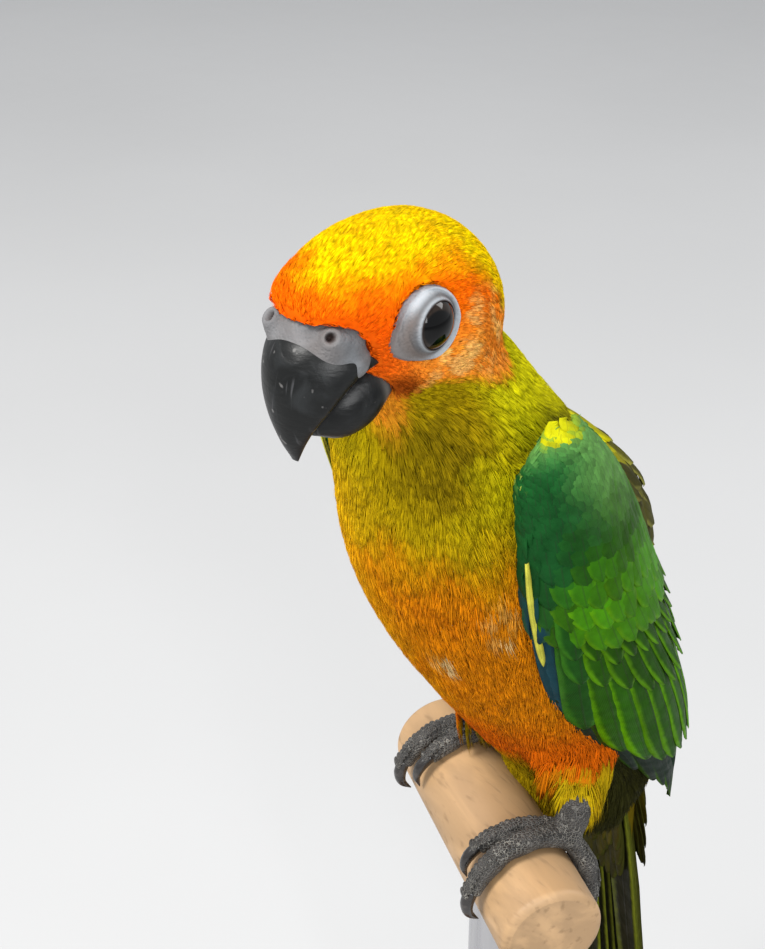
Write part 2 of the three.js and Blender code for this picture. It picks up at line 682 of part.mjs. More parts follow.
function perchSolid(grow = 0) {
  const half = PERCH_LENGTH / 2;
  const radius = PERCH_RADIUS + grow;
  const profile = [
    [0, -half],
    [radius - PERCH_EDGE, -half],
    [radius, -half + PERCH_EDGE],
    [radius, half - PERCH_EDGE],
    [radius - PERCH_EDGE, half],
    [0, half],
  ].map(([x, y]) => new THREE.Vector2(x, y));
  const perch = new THREE.LatheGeometry(profile, 32).rotateZ(Math.PI / 2).rotateZ(rad(-PERCH_YAW));
  return solidOf(perch.translate(PERCH_CENTRE.x, PERCH_CENTRE.y, PERCH_CENTRE.z));
}

function rodSolid() {
  const bottom = -LIFT + BASE_HEIGHT + GAP;
  const height = PERCH_CENTRE.z - bottom;
  const rod = new THREE.CylinderGeometry(ROD_RADIUS, ROD_RADIUS, height, 24).rotateX(Math.PI / 2);
  return solidOf(rod.translate(PERCH_CENTRE.x, PERCH_CENTRE.y, bottom + height / 2)).subtract(perchSolid(GAP));
}

// Materials, one for each node.
function surface(color, roughness) {
  return new THREE.MeshStandardMaterial({ color, roughness, metalness: 0 });
}
const YELLOW = 0xf2b010;
const ORANGE = 0xd97a10;
const OLIVE = 0xb3a018;
const GREEN = 0x3f8a12;
const TAIL_OLIVE = 0x2c3014;
const HORN = 0x2a2a2c;
const BARE = 0xb9b6b8;
const SCALES = 0x3c3a38;
const IRIS = 0x120c0a;
const WOOD = 0x8a6a48;
const STEEL = 0x8f9296;

const group = new THREE.Group();
group.position.set(-PERCH_CENTRE.x, -PERCH_CENTRE.y, LIFT);

function add(name, solid, material) {
  const mesh = new THREE.Mesh(geometryOf(solid), material);
  mesh.name = name;
  group.add(mesh);
}

// Stand.
add("stand_base", standBase(), surface(WOOD, 0.45));
add("stand_rod", rodSolid(), surface(STEEL, 0.35));
add("stand_perch", perchSolid(), surface(WOOD, 0.55));

// Head.
const upper = upperBill(0);
const cere = largest(cereSolid(0).subtract(upperBill(GAP)));
const lower = largest(lowerBill(0).subtract(upperBill(GAP)));
let head = headSolid(0).subtract(upperBill(GAP)).subtract(lowerBill(GAP)).subtract(cereSolid(GAP));
for (const [word, side] of [["left", 1], ["right", -1]]) {
  const eyeGrown = headBall(EYE_FORWARD, side * EYE_SIDE, EYE_UP, EYE_RADIUS + GAP, 14);
  const ring = largest(eyeRing(side, 0).add(eyeLid(side)).subtract(eyeGrown));
  head = head.subtract(eyeRing(side, GAP)).subtract(eyeGrown);
  add(`eye_${word}`, headBall(EYE_FORWARD, side * EYE_SIDE, EYE_UP, EYE_RADIUS, 14), surface(IRIS, 0.12));
  add(`eyelid_${word}`, ring, surface(BARE, 0.6));
}
const nostrils = [1, -1].map((side) => headBall(NOSTRIL.forward, side * NOSTRIL.side, NOSTRIL.up, NOSTRIL.radius, 10));
add("head", largest(head), surface(YELLOW, 0.8));
add("cere", largest(cere.subtract(nostrils[0]).subtract(nostrils[1])), surface(BARE, 0.6));
add("bill_upper", upper, surface(HORN, 0.35));
add("bill_lower", lower, surface(HORN, 0.4));

// Neck and torso, parted by a cut across the spine.
const { middle: neckPoint, along: neckWay } = bodyFrame(NECK_SHARE);
const aboveNeck = halfSpace(neckPoint.clone().addScaledVector(neckWay, -GAP / 2), neckWay.clone().negate());
const belowNeck = halfSpace(neckPoint.clone().addScaledVector(neckWay, GAP / 2), neckWay);
add("neck", largest(trunkSolid(0).subtract(belowNeck).subtract(headSolid(GAP)).subtract(lowerBill(GAP))), surface(OLIVE, 0.8));
const wing = largest(leftWing().subtract(trunkSolid(GAP)));
const tail = tailSolid().subtract(bodySolid(GAP));
add("torso", largest(trunkSolid(0).subtract(aboveNeck)), surface(ORANGE, 0.8));

// Paired parts.
for (const [word, side] of [["left", 1], ["right", -1]]) {
  const thighGrown = thighSolid(side, GAP);
  const thigh = largest(thighSolid(side, 0).subtract(bodySolid(GAP)));
  const foot = largest(footSolid(side).subtract(thighGrown).subtract(bodySolid(GAP)));
  add(`wing_${word}`, side > 0 ? wing : mirrored(wing), surface(GREEN, 0.6));
  add(`thigh_${word}`, thigh, surface(ORANGE, 0.8));
  add(`foot_${word}`, foot, surface(SCALES, 0.7));
  for (const one of TOES) {
    add(`claw_${one.name}_${word}`, largest(claw(one, side).subtract(toe(one, side, GAP))), surface(HORN, 0.3));
  }
}
add("tail", largest(tail), surface(TAIL_OLIVE, 0.6));

export default group;
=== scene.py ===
"""A life-size young sun conure on a round perch and a plain display stand.

The bird's own numbers are in millimetres, in a frame with X to its left, Y to its back and Z up,
whose origin is near the top of the perch. They are moved to the stand's frame, in metres, when a
mesh is made.
"""

import json
import math

import bmesh
import bpy
import numpy as np
from bpy.props import FloatProperty, FloatVectorProperty, IntProperty, PointerProperty
from mathutils import Matrix, Vector
from mathutils.bvhtree import BVHTree

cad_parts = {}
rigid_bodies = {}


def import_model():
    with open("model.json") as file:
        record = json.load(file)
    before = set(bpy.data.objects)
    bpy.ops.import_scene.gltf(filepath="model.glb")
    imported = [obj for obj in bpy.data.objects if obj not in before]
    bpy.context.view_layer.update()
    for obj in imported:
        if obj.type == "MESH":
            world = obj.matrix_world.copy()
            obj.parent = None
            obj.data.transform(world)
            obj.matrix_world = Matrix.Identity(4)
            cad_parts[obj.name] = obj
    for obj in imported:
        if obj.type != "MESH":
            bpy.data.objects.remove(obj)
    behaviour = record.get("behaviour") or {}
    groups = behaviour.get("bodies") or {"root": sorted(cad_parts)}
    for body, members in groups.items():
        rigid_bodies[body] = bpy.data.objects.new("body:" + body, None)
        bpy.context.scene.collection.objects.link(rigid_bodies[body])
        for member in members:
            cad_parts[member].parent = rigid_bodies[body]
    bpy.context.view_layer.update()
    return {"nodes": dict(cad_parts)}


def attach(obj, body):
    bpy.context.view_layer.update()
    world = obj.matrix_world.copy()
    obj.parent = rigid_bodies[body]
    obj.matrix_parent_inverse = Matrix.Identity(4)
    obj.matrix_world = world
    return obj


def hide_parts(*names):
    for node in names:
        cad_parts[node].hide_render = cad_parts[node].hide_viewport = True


bl_info = {
    "name": "Sun Conure on a Stand",
    "version": (1, 0, 0),
    "blender": (4, 5, 0),
    "location": "View3D > Sidebar > Conure",
    "description": "Builds a feathered sun conure, its perch and stand, and a plain studio",
    "category": "Object",
}

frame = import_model()

# Sizes that the solids were drawn from, in millimetres and degrees.
MM = 0.001
BASE_RADIUS, BASE_HEIGHT = 60.0, 12.0
ROD_RADIUS = 4.0
PERCH_RADIUS, PERCH_LENGTH, PERCH_EDGE = 10.0, 62.0, 1.5
PERCH_CENTRE = np.array([0.0, -5.5, -2.5])
PERCH_YAW = math.radians(20)
TAIL_ROOT = np.array([0.0, 28.5, 2.0])
TAIL_LENGTH, TAIL_LEAN, TAIL_CLEARANCE = 132.0, math.radians(9.5), 6.0
LIFT = BASE_HEIGHT + TAIL_CLEARANCE + TAIL_LENGTH * math.cos(TAIL_LEAN) - TAIL_ROOT[2]
SHIFT = np.array([-PERCH_CENTRE[0], -PERCH_CENTRE[1], LIFT])
HEAD_CENTRE = np.array([0.0, -32.5, 115.5])
HEAD_YAW = math.radians(12)
EYE = {"radius": 5.0, "forward": 4.6, "side": 10.4, "up": 5.4}
# Reach of the bare ring round the eye, at turns in degrees from straight ahead.
RING_OUTLINE = [
    (-180, 4.8), (-141, 4.6), (-93, 4.7), (-63, 5.2), (-46, 6.2), (-31, 7.4), (-21, 7.6), (-13, 7.0),
    (-3, 6.1), (12, 5.2), (43, 4.7), (76, 4.6), (101, 4.8), (123, 5.2), (149, 5.4), (162, 5.3),
    (180, 4.8),
]
UP = np.array([0.0, 0.0, 1.0])
LEFT = np.array([1.0, 0.0, 0.0])
BACK = np.array([0.0, 1.0, 0.0])
FLESH = ("head", "neck", "torso", "thigh_left", "thigh_right")
SIDES = (("left", 1), ("right", -1))

# Limits of the coat: faces of a piece, trial roots, cells of the bake map and a feather's share of it.
PIECE_FACES = 190000
COAT_TRIALS, MANTLE_TRIALS = 220000, 60000
BAKE_CELLS, BAKE_PATCH = 300, 0.0029
# The coat's lowest place, its gap to bare parts, and how far the flesh swells under it, in millimetres.
COAT_BOTTOM, ROOT_CLEARANCE, FLESH_SWELL = -15, 0.3, 0.4

# The camera's place in the bird's frame, its turn and rise, and its focal length in pixels of the picture.
# The lamps aim at a place of the stand's frame, in metres.
CAMERA_PLACE = np.array([185.5, -178.3, 224.6])
CAMERA_TURN, CAMERA_RISE = math.radians(52), math.radians(30)
FOCAL_PIXELS, PICTURE_PIXELS, SENSOR = 1664, 949, 36
LAMP_AIM = (0, 0, 0.24)

# What one operator makes and later ones read.
made = {}


# Curves and fields


class Run:
    """A smooth run through stations, read at shares from 0 to 1."""

    def __init__(self, stations):
        points = np.array(stations, float)
        self.count = len(points)
        self.points = np.vstack([2 * points[0] - points[1], points, 2 * points[-1] - points[-2]])

    def __call__(self, share):
        share = np.clip(np.asarray(share, float), 0, 1) * (self.count - 1)
        index = np.minimum(np.floor(share).astype(int), self.count - 2)
        w = (share - index)[..., None]
        p0, p1, p2, p3 = (self.points[index + k] for k in range(4))

        def knot(a, b):
            return np.maximum(((a - b) ** 2).sum(-1, keepdims=True) ** 0.25, 1e-4)

        d0, d1, d2 = knot(p0, p1), knot(p1, p2), knot(p2, p3)
        t1 = ((p1 - p0) / d0 - (p2 - p0) / (d0 + d1) + (p2 - p1) / d1) * d1
        t2 = ((p2 - p1) / d1 - (p3 - p1) / (d1 + d2) + (p3 - p2) / d2) * d1
        c2 = -3 * p1 + 3 * p2 - 2 * t1 - t2
        c3 = 2 * p1 - 2 * p2 + t1 + t2
        return p1 + t1 * w + c2 * w**2 + c3 * w**3


def unit(v):
    """Vectors of length 1."""
    return v / np.maximum(np.linalg.norm(v, axis=-1, keepdims=True), 1e-9)


def lerp(a, b, t):
    return a + (b - a) * t


def ramp(x, low, high):
    """A smooth rise from 0 at the low value to 1 at the high one."""
    t = np.clip((x - low) / (high - low), 0, 1)
    return t * t * (3 - 2 * t)


def bell(x, middle, width):
    return np.exp(-(((x - middle) / width) ** 2))


def mix(a, b, t):
    """Colours or vectors blended by one share each."""
    return a + (b - a) * np.asarray(t)[..., None]


LATTICE = np.random.default_rng(5).random((32, 32, 32))


def blotches(points, size, turn=0.0):
    """Smooth noise from 0 to 1 at points, with blotches of about that size."""
    at = np.asarray(points) / size + turn
    cell = np.floor(at).astype(int)
    w = at - cell
    w = w * w * (3 - 2 * w)
    total = 0
    for i in (0, 1):
        for j in (0, 1):
            for k in (0, 1):
                share = np.abs(1 - i - w[..., 0]) * np.abs(1 - j - w[..., 1]) * np.abs(1 - k - w[..., 2])
                corner = (cell + [i, j, k]) % 32
                total = total + share * LATTICE[corner[..., 0], corner[..., 1], corner[..., 2]]
    return total


def to_linear(c):
    """Linear values of display colours."""
    c = np.clip(np.asarray(c, float), 0, 1)
    return np.where(c <= 0.04045, c / 12.92, ((c + 0.055) / 1.055) ** 2.4)


# The bird's forms


HEAD_FORWARD = np.array([math.sin(HEAD_YAW), -math.cos(HEAD_YAW), 0.0])
HEAD_LEFT = np.array([math.cos(HEAD_YAW), math.sin(HEAD_YAW), 0.0])


def in_head(forward, left, up):
    """Points of the bird's frame from the head's own forward, left and up."""
    forward, left, up = (np.asarray(v, float)[..., None] for v in (forward, left, up))
    return HEAD_CENTRE + forward * HEAD_FORWARD + left * HEAD_LEFT + up * UP


def from_head(points):
    """The head's own forward, left and up of points."""
    out = points - HEAD_CENTRE
    return out @ HEAD_FORWARD, out @ HEAD_LEFT, out[..., 2]


# Stations of the head: forward, top, bottom, half width and how much the underside narrows.
HEAD = [
    (-20.5, 3, -1, 2, 0), (-19, 8.6, -7, 8, 0), (-15, 13.6, -13, 12.4, 0), (-9, 17.1, -16.5, 14.7, 0),
    (-2, 18.5, -17, 15.5, 0.05), (5, 18.4, -15.5, 14.9, 0.12), (10, 17.8, -12, 12.8, 0.32),
    (13.5, 16.9, -5.5, 10.8, 0.42), (16.5, 15.8, -1, 9.4, 0.36), (18.8, 14.3, 2, 8.1, 0.28),
    (20.6, 12.4, 5, 5.6, 0.1), (21.4, 10.4, 7.6, 2.4, 0),
]
head_line = Run([(f, top, bottom) for f, top, bottom, _, _ in HEAD])
head_width = Run([(f, width, taper) for f, _, _, width, taper in HEAD])


def head_side(forward, up):
    """How far the head's side stands out at a point of its side view."""
    share = np.linspace(0, 1, 240)
    line, wide = head_line(share), head_width(share)
    order = np.argsort(line[:, 0])
    at = np.interp(forward, line[order, 0], share[order])
    line, wide = head_line(at), head_width(at)
    middle, half = (line[..., 1] + line[..., 2]) / 2, (line[..., 1] - line[..., 2]) / 2
    cos = np.clip((up - middle) / half, -1, 1)
    return wide[..., 1] * np.sqrt(1 - cos**2) * (1 - wide[..., 2] * np.minimum(cos, 0) ** 2)


# The middle of the body from the vent to the neck: y and z.
SPINE = [
    (27, -16), (27, -11), (26, -4), (21.5, 6), (14.5, 20), (7, 35), (-1, 51), (-8.5, 66), (-15, 80),
    (-20, 91), (-24, 100), (-27, 108),
]
SPINE_Y, SPINE_Z = np.array(SPINE, float).T
SPINE_DOWN = unit(np.array([[0, 8, -15.0]]))[0]

# Stations of the left wing: leading edge, middle and trailing edge.
WING = [
    [(25.5, -24.6, 103.6), (26.5, -17.5, 104.8), (23.5, -12, 101.5)],
    [(28, -28.6, 98), (31, -17, 99), (22, -3.5, 94.5)],
    [(28.8, -27.6, 87), (32, -12, 86.5), (18.5, 6, 84.5)],
    [(27.4, -23.8, 72), (31.8, -6, 71.5), (14.5, 15.5, 68.5)],
    [(26, -18.8, 58), (31.2, 1.2, 57), (11.2, 23.4, 54.2)],
    [(23.2, -11.6, 44), (30, 9, 42.5), (9.5, 30.2, 39)],
    [(19.8, -1.5, 29), (26.5, 17, 27), (8.2, 36.3, 23.6)],
    [(15.6, 11.5, 14), (21.6, 24.5, 11.5), (7, 39.5, 7.5)],
    [(12.8, 22, 1), (16.6, 30.6, -0.5), (7, 41, -4)],
    [(10.5, 32.5, -12.5), (12.5, 35.5, -13.5), (7.5, 39.5, -15)],
]
WING_LINES = [Run([row[line] for row in WING]) for line in range(3)]
ARM_END, SHOULDER = 0.37, 0.25
arm_thickness = Run([(thick, i * 4, 0) for i, thick in enumerate((5, 9, 11, 12, 11.5, 10, 7.5))])


def wing_at(along, across):
    """A point of the left wing's sheet, from shares along it and across it."""
    lead, middle, trail = (line(along) for line in WING_LINES)
    v = np.asarray(across, float)[..., None]
    return lead * (2 * (v - 0.5) * (v - 1)) + middle * (4 * v * (1 - v)) + trail * (2 * v * (v - 0.5))


def wing_point(along, across, depth=0.0):
    """A point of the left wing's sheet, sunk by a depth, and the way out of the sheet there."""
    step = 0.01
    along, across = np.asarray(along, float), np.asarray(across, float)
    down = wing_at(np.minimum(along + step, 1), across) - wing_at(np.maximum(along - step, 0), across)
    over = wing_at(along, across + step) - wing_at(along, across - step)
    out = unit(np.cross(down, over))
    return wing_at(along, across) - out * np.asarray(depth, float)[..., None], out


def wing_across(along, across, offset, depth):
    """A point of the sheet, moved sideways by a distance in millimetres."""
    scale = np.linalg.norm(wing_at(along, across + 0.05) - wing_at(along, across), axis=-1) / 0.05
    return wing_point(along, across + offset / scale, depth)[0]


def arm_point(share, angle):
    """A point on the wing's arm: a share down it, and an angle from its leading edge over its outer face."""
    along = ARM_END * np.asarray(share, float)
    past_end = np.where(share > 1, np.maximum(1 - (share - 1) * 2.2, 0.2), 1)
    thick = arm_thickness(np.clip(share, 0, 1))[..., 0] * past_end
    open_end = np.sqrt(np.maximum(1 - 0.6 * np.maximum(1 - share / SHOULDER, 0) ** 2, 0))
    across = 0.5 - 0.53 * open_end * np.cos(angle)
    flat = np.sign(np.sin(angle)) * np.abs(np.sin(angle)) ** 0.55
    return wing_point(along, across, thick / 2 * (1 - flat))[0]


# Meshes from arrays


def mesh_from(name, points, faces):
    """A mesh from points of the bird's frame and faces with equal numbers of corners."""
    faces = np.asarray(faces, np.int32)
    mesh = bpy.data.meshes.new(name)
    mesh.vertices.add(len(points))
    mesh.vertices.foreach_set("co", ((np.asarray(points) + SHIFT) * MM).astype(np.float32).ravel())
    count, corners = faces.shape
    mesh.loops.add(count * corners)
    mesh.loops.foreach_set("vertex_index", faces.ravel())
    mesh.polygons.add(count)
    mesh.polygons.foreach_set("loop_start", np.arange(0, count * corners, corners, dtype=np.int32))
    mesh.polygons.foreach_set("use_smooth", np.ones(count, bool))
    mesh.update(calc_edges=True)
    mesh.validate()
    return mesh


def paint(mesh, name, colours):
    """A colour for each point, or one for all, given as display colours."""
    layer = mesh.color_attributes.new(name, "FLOAT_COLOR", "POINT")
    full = np.ones((len(mesh.vertices), 4), np.float32)
    full[:, :3] = to_linear(colours)
    layer.data.foreach_set("color", full.ravel())


def tint(mesh, *masks):
    """Paints up to three masks in the colours of the tone, as they are. Any points left over get none."""
    full = np.zeros((len(mesh.vertices), 4), np.float32)
    for channel in range(3):
        mask = masks[channel % len(masks)]
        full[: len(mask), channel] = mask
    full[:, 3] = 1
    mesh.color_attributes.new("Tone", "FLOAT_COLOR", "POINT").data.foreach_set("color", full.ravel())


def lay_uv(mesh, name, uv):
    """A UV map from one place for each point."""
    layer = mesh.uv_layers.new(name=name)
    corner = np.empty(len(mesh.loops), np.int32)
    mesh.loops.foreach_get("vertex_index", corner)
    layer.data.foreach_set("uv", uv[corner].astype(np.float32).ravel())


def points_of(mesh):
    """The mesh's points in the bird's frame."""
    points = np.empty(len(mesh.vertices) * 3, np.float32)
    mesh.vertices.foreach_get("co", points)
    return points.reshape(-1, 3) / MM - SHIFT


def tree_of(mesh):
    """A search tree of a mesh's faces."""
    return BVHTree.FromPolygons([v.co for v in mesh.vertices], [tuple(p.vertices) for p in mesh.polygons])


def add_piece(name, mesh, material, slot, *nodes):
    """A finished piece that rides on the stand's body and may stand for solids."""
    piece = bpy.data.objects.new(name, mesh)
    bpy.context.collection.objects.link(piece)
    mesh.materials.clear()
    mesh.materials.append(material)
    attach(piece, "root")
    if nodes:
        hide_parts(*nodes)
    return piece


def grid_faces(rows, columns, start=0, closed=False):
    """Quads over a grid of points, row by row."""
    r, c = np.meshgrid(np.arange(rows - 1), np.arange(columns if closed else columns - 1), indexing="ij")
    a = r * columns + c
    b = r * columns + (c + 1) % columns
    return (np.stack([a, b, b + columns, a + columns], -1) + start).reshape(-1, 4)


def facing_out(mesh):
    """Turns every face outwards on closed shells."""
    tool = bmesh.new()
    tool.from_mesh(mesh)
    bmesh.ops.recalc_face_normals(tool, faces=tool.faces)
    tool.to_mesh(mesh)
    tool.free()
    mesh.update()
    return mesh


def tube_shares(sides, steps):
    """The share along a tube and the angle round it, at each point of its wall."""
    shares, angles = np.linspace(0, 1, steps + 1), np.linspace(0, 2 * np.pi, sides, endpoint=False)
    return np.meshgrid(shares, angles, indexing="ij")


def tube(place, sides, steps):
    """A closed tube from a function of the share along it and the angle round it."""
    wall = place(*tube_shares(sides, steps)).reshape(-1, 3)
    caps = [wall[:sides].mean(0), wall[-sides:].mean(0)]
    quads = grid_faces(steps + 1, sides, closed=True)
    low, high = np.full(sides, len(wall)), np.full(sides, len(wall) + 1)
    ring, last = np.arange(sides), steps * sides
    after = np.roll(ring, -1)
    ends = np.concatenate([np.stack([low, after, ring], -1), np.stack([high, ring + last, after + last], -1)])
    return np.vstack([wall, caps]), quads, ends


def tube_mesh(name, place, sides, steps):
    """A closed tube as a mesh of triangles."""
    points, quads, ends = tube(place, sides, steps)
    faces = np.vstack([quads[:, [0, 1, 2]], quads[:, [0, 2, 3]], ends])
    return facing_out(mesh_from(name, points, faces))


def bar_place(points, radii):
    """The wall of a round bar through points, with radii read along it."""
    line, wide = Run(points), Run([(r, i * 2, 0) for i, r in enumerate(radii)])

    def place(share, angle):
        step = 0.004
        along = unit(line(share + step) - line(share - step))
        side = unit(np.cross(along, np.where(np.abs(along[..., :1]) > 0.9, BACK, LEFT)))
        other = unit(np.cross(side, along))
        radius = wide(share)[..., :1]
        return line(share) + radius * (side * np.cos(angle)[..., None] + other * np.sin(angle)[..., None])

    return place


def joined(name, meshes):
    """Several meshes as one, not yet fused."""
    tool = bmesh.new()
    for mesh in meshes:
        tool.from_mesh(mesh)
    whole = bpy.data.meshes.new(name)
    tool.to_mesh(whole)
    tool.free()
    return whole


def modified(name, mesh, kind, settings):
    """The plain mesh that one modifier makes of a mesh. Its settings are laid on by a function."""
    block = bpy.data.objects.new(name, mesh)
    bpy.context.collection.objects.link(block)
    settings(block.modifiers.new(kind, kind))
    bpy.context.view_layer.update()
    done = bpy.data.meshes.new_from_object(block.evaluated_get(bpy.context.evaluated_depsgraph_get()))
    bpy.data.objects.remove(block)
    done.name = name
    return done


def remeshed(name, mesh, voxel):
    """A copy of closed meshes fused into one skin."""
    def settings(modifier):
        modifier.mode, modifier.voxel_size = "VOXEL", voxel

    return modified(name, mesh, "REMESH", settings)


def relaxed(mesh, rounds, shrink):
    """Smooths a mesh, then sinks it along its normals by a depth in metres."""
    count = len(mesh.vertices)
    points = np.empty(count * 3)
    mesh.vertices.foreach_get("co", points)
    points = points.reshape(-1, 3)
    edges = np.empty(len(mesh.edges) * 2, np.int32)
    mesh.edges.foreach_get("vertices", edges)
    a, b = edges.reshape(-1, 2).T
    degree = np.bincount(np.concatenate([a, b]), minlength=count)[:, None]
    for _ in range(rounds):
        total = np.zeros_like(points)
        for axis in range(3):
            total[:, axis] = np.bincount(a, points[b, axis], count) + np.bincount(b, points[a, axis], count)
        points += 0.5 * (total / np.maximum(degree, 1) - points)
    mesh.vertices.foreach_set("co", points.ravel())
    mesh.update()
    normals = np.empty(count * 3, np.float32)
    mesh.vertex_normals.foreach_get("vector", normals)
    depth = shrink(points / MM - SHIFT) if callable(shrink) else shrink
    points -= normals.reshape(-1, 3) * np.reshape(depth, (-1, 1)) * MM
    mesh.vertices.foreach_set("co", points.ravel())
    mesh.polygons.foreach_set("use_smooth", np.ones(len(mesh.polygons), bool))
    mesh.update()
    return mesh


# Settings


def length(name, description, default):
    """A setting in metres."""
    return FloatProperty(name=name, description=description, default=default, min=0.0, unit="LENGTH")


def hue(name, description, red, green, blue):
    """A setting for a display colour, from its values out of 255."""
    return FloatVectorProperty(
        name=name, description=description, size=3, subtype="COLOR_GAMMA", min=0.0, max=1.0,
        default=(red / 255, green / 255, blue / 255),
    )


class ConureSizes(bpy.types.PropertyGroup):
    """Sizes of the coat, in metres."""

    coat_depth: length("Coat depth", "How deep the skin lies under the feather tips", 0.0009)
    head_feather: length("Head feather", "Length of a crown feather", 0.0042)
    neck_feather: length("Neck feather", "Length of a throat feather", 0.0068)
    body_feather: length("Body feather", "Length of a belly feather", 0.0095)
    head_spacing: length("Head spacing", "Distance between feather roots on the head", 0.00066)
    neck_spacing: length("Neck spacing", "Distance between feather roots on the neck", 0.00115)
    body_spacing: length("Body spacing", "Distance between feather roots on the body", 0.0014)
    seed: IntProperty(name="Seed", description="Seed of every random draw", default=7, min=0)


class ConureColours(bpy.types.PropertyGroup):
    """Display colours of the plumage and the bare parts."""

    crown: hue("Crown", "Bright yellow of the crown", 255, 212, 0)
    crown_streak: hue("Crown streaks", "Dusky streaks on the crown", 244, 188, 2)
    forehead: hue("Forehead", "Orange of forehead, brow and lores", 255, 112, 3)
    lores: hue("Lores", "Deep orange by the bill", 240, 84, 4)
    cheek: hue("Cheek", "Orange of the cheek", 255, 150, 44)
    cheek_streak: hue("Cheek streaks", "Peach streaks on the cheek", 255, 198, 116)
    nape: hue("Nape", "Yellow-green of the nape", 204, 196, 14)
    throat: hue("Throat", "Gold of the throat", 192, 168, 12)
    collar: hue("Collar", "Olive patch under the cheek", 124, 104, 8)
    breast: hue("Breast", "Olive gold of the upper breast", 182, 154, 9)
    # Golden yellow for the breast's side that faces the key lamp: painted light.
    breast_edge: hue("Breast edge", "Golden yellow along the breast", 240, 184, 18)
    belly: hue("Belly", "Orange of the belly", 206, 124, 8)
    # Darker brownish orange for the sides under the wings: painted shade.
    flank: hue("Flank", "Brownish orange under the wing", 160, 84, 8)
    vent: hue("Vent", "Deep orange above the tail", 212, 100, 8)
    vent_tip: hue("Vent tip", "Yellow-green at the vent", 168, 142, 12)
    mantle: hue("Mantle", "Olive brown of the mantle", 60, 58, 22)
    mantle_edge: hue("Mantle edge", "Pale edges on the mantle", 112, 110, 50)
    rump: hue("Rump", "Olive yellow of the rump", 160, 138, 24)
    down: hue("Down", "Whitish down on the belly", 206, 202, 186)
    # Greyish green: the coverts' own green with a painted sheen.
    covert: hue("Lesser coverts", "Greyish green of the small wing feathers", 80, 124, 60)
    covert_low: hue("Front coverts", "Dark green of the front of the wing", 18, 68, 28)
    covert_back: hue("Back coverts", "Bright green towards the back edge", 58, 114, 6)
    shoulder: hue("Shoulder", "Yellow shoulder patch", 168, 166, 10)
    wing_strip: hue("Wing edge", "Pale yellow line down the wing's front", 182, 178, 66)
    secondary: hue("Secondaries", "Bright green of the secondaries", 29, 68, 2)
    green_edge: hue("Green edge", "Yellow-green feather edges", 76, 126, 4)
    primary_covert: hue("Primary coverts", "Blue of the primary coverts", 18, 50, 58)
    primary: hue("Primaries", "Blue black of the primaries", 18, 34, 24)
    tail: hue("Tail", "Dark olive of the tail", 34, 34, 12)
    tail_edge: hue("Tail edge", "Yellow-green outer edge of the tail", 92, 98, 22)
    bare_skin: hue("Bare skin", "Whitish grey of cere and eye ring", 92, 93, 95)
    bill: hue("Bill", "Charcoal of the bill", 17, 18, 18)
    feet: hue("Feet", "Dark grey of the feet", 60, 58, 56)
    scale_edge: hue("Scale edges", "Pale edges of the scales", 152, 149, 140)
    stand_wood: hue("Stand wood", "Brown of the stand's base", 112, 76, 46)
    perch_wood: hue("Perch wood", "Pale wood of the perch", 186, 150, 108)
    floor: hue("Floor", "Pale studio floor", 182, 182, 182)


def sizes():
    """The settings of the coat."""
    return bpy.context.scene.conure_sizes


def colour(name):
    """A display colour of the settings."""
    return np.array(getattr(bpy.context.scene.conure_colours, name), float)


# Shader maths


class Wire:
    """A socket whose operators add the nodes that work them out."""

    def __init__(self, maker, socket):
        self.maker = maker
        self.socket = socket

    def maths(self, operation, *others):
        """A Math node that works on this socket and others."""
        return self.maker.node("ShaderNodeMath", {"operation": operation}, self, *others)

    def __add__(self, other):
        return self.maths("ADD", other)

    def __sub__(self, other):
        return self.maths("SUBTRACT", other)

    def __rsub__(self, other):
        return self.maker.node("ShaderNodeMath", {"operation": "SUBTRACT"}, other, self)

    def __mul__(self, other):
        return self.maths("MULTIPLY", other)

    __radd__ = __add__
    __rmul__ = __mul__


class Maker:
    """A node tree and the calls that its nodes are made with."""

    def __init__(self, tree):
        self.nodes, self.links = tree.nodes, tree.links

    def node(self, kind, settings, *values, out=0, **named):
        """One node: its settings first, then the values or links of its sockets."""
        new = self.nodes.new(kind)
        for key, value in settings.items():
            setattr(new, key, value)
        for key, value in enumerate(values):
            self.feed(new.inputs[key], value)
        for key, value in named.items():
            self.feed(new.inputs[key.replace("_", " ")], value)
        return Wire(self, new.outputs[out])

    def feed(self, socket, value):
        """Links a wire to a socket, or sets the socket to a value."""
        if isinstance(value, Wire):
            self.links.new(value.socket, socket)
        elif hasattr(socket.default_value, "__len__") and len(socket.default_value) == 4 and len(value) == 3:
            socket.default_value = (*value, 1.0)
        else:
            socket.default_value = value


class Rule(Maker):
    """A Geometry Nodes tree with named inputs, which ends in a plain mesh with one material."""

    def __init__(self, name, **inputs):
        self.group = bpy.data.node_groups.new(name, "GeometryNodeTree")
        super().__init__(self.group)
        self.ids = {}
        for key, kind in {"Base": "Geometry", **inputs, "Material": "Material"}.items():
            entry = self.group.interface.new_socket(key, in_out="INPUT", socket_type=f"NodeSocket{kind}")
            self.ids[key] = entry.identifier
        self.group.interface.new_socket("Geometry", in_out="OUTPUT", socket_type="NodeSocketGeometry")
        self.entry = self.nodes.new("NodeGroupInput")

    def input(self, key):
        return Wire(self, self.entry.outputs[key])

    def close(self, wire):
        """Ends the tree with real geometry in the material."""
        plain = self.node("GeometryNodeRealizeInstances", {}, wire)
        painted = self.node("GeometryNodeSetMaterial", {}, plain, Material=self.input("Material"))
        self.feed(self.nodes.new("NodeGroupOutput").inputs[0], painted)

    def grow(self, name, base, **values):
        """The plain mesh that the tree makes from a base mesh and the values of its inputs."""
        def settings(modifier):
            modifier.node_group = self.group
            for key, value in values.items():
                modifier[self.ids[key]] = value

        return modified(name, base, "NODES", settings)


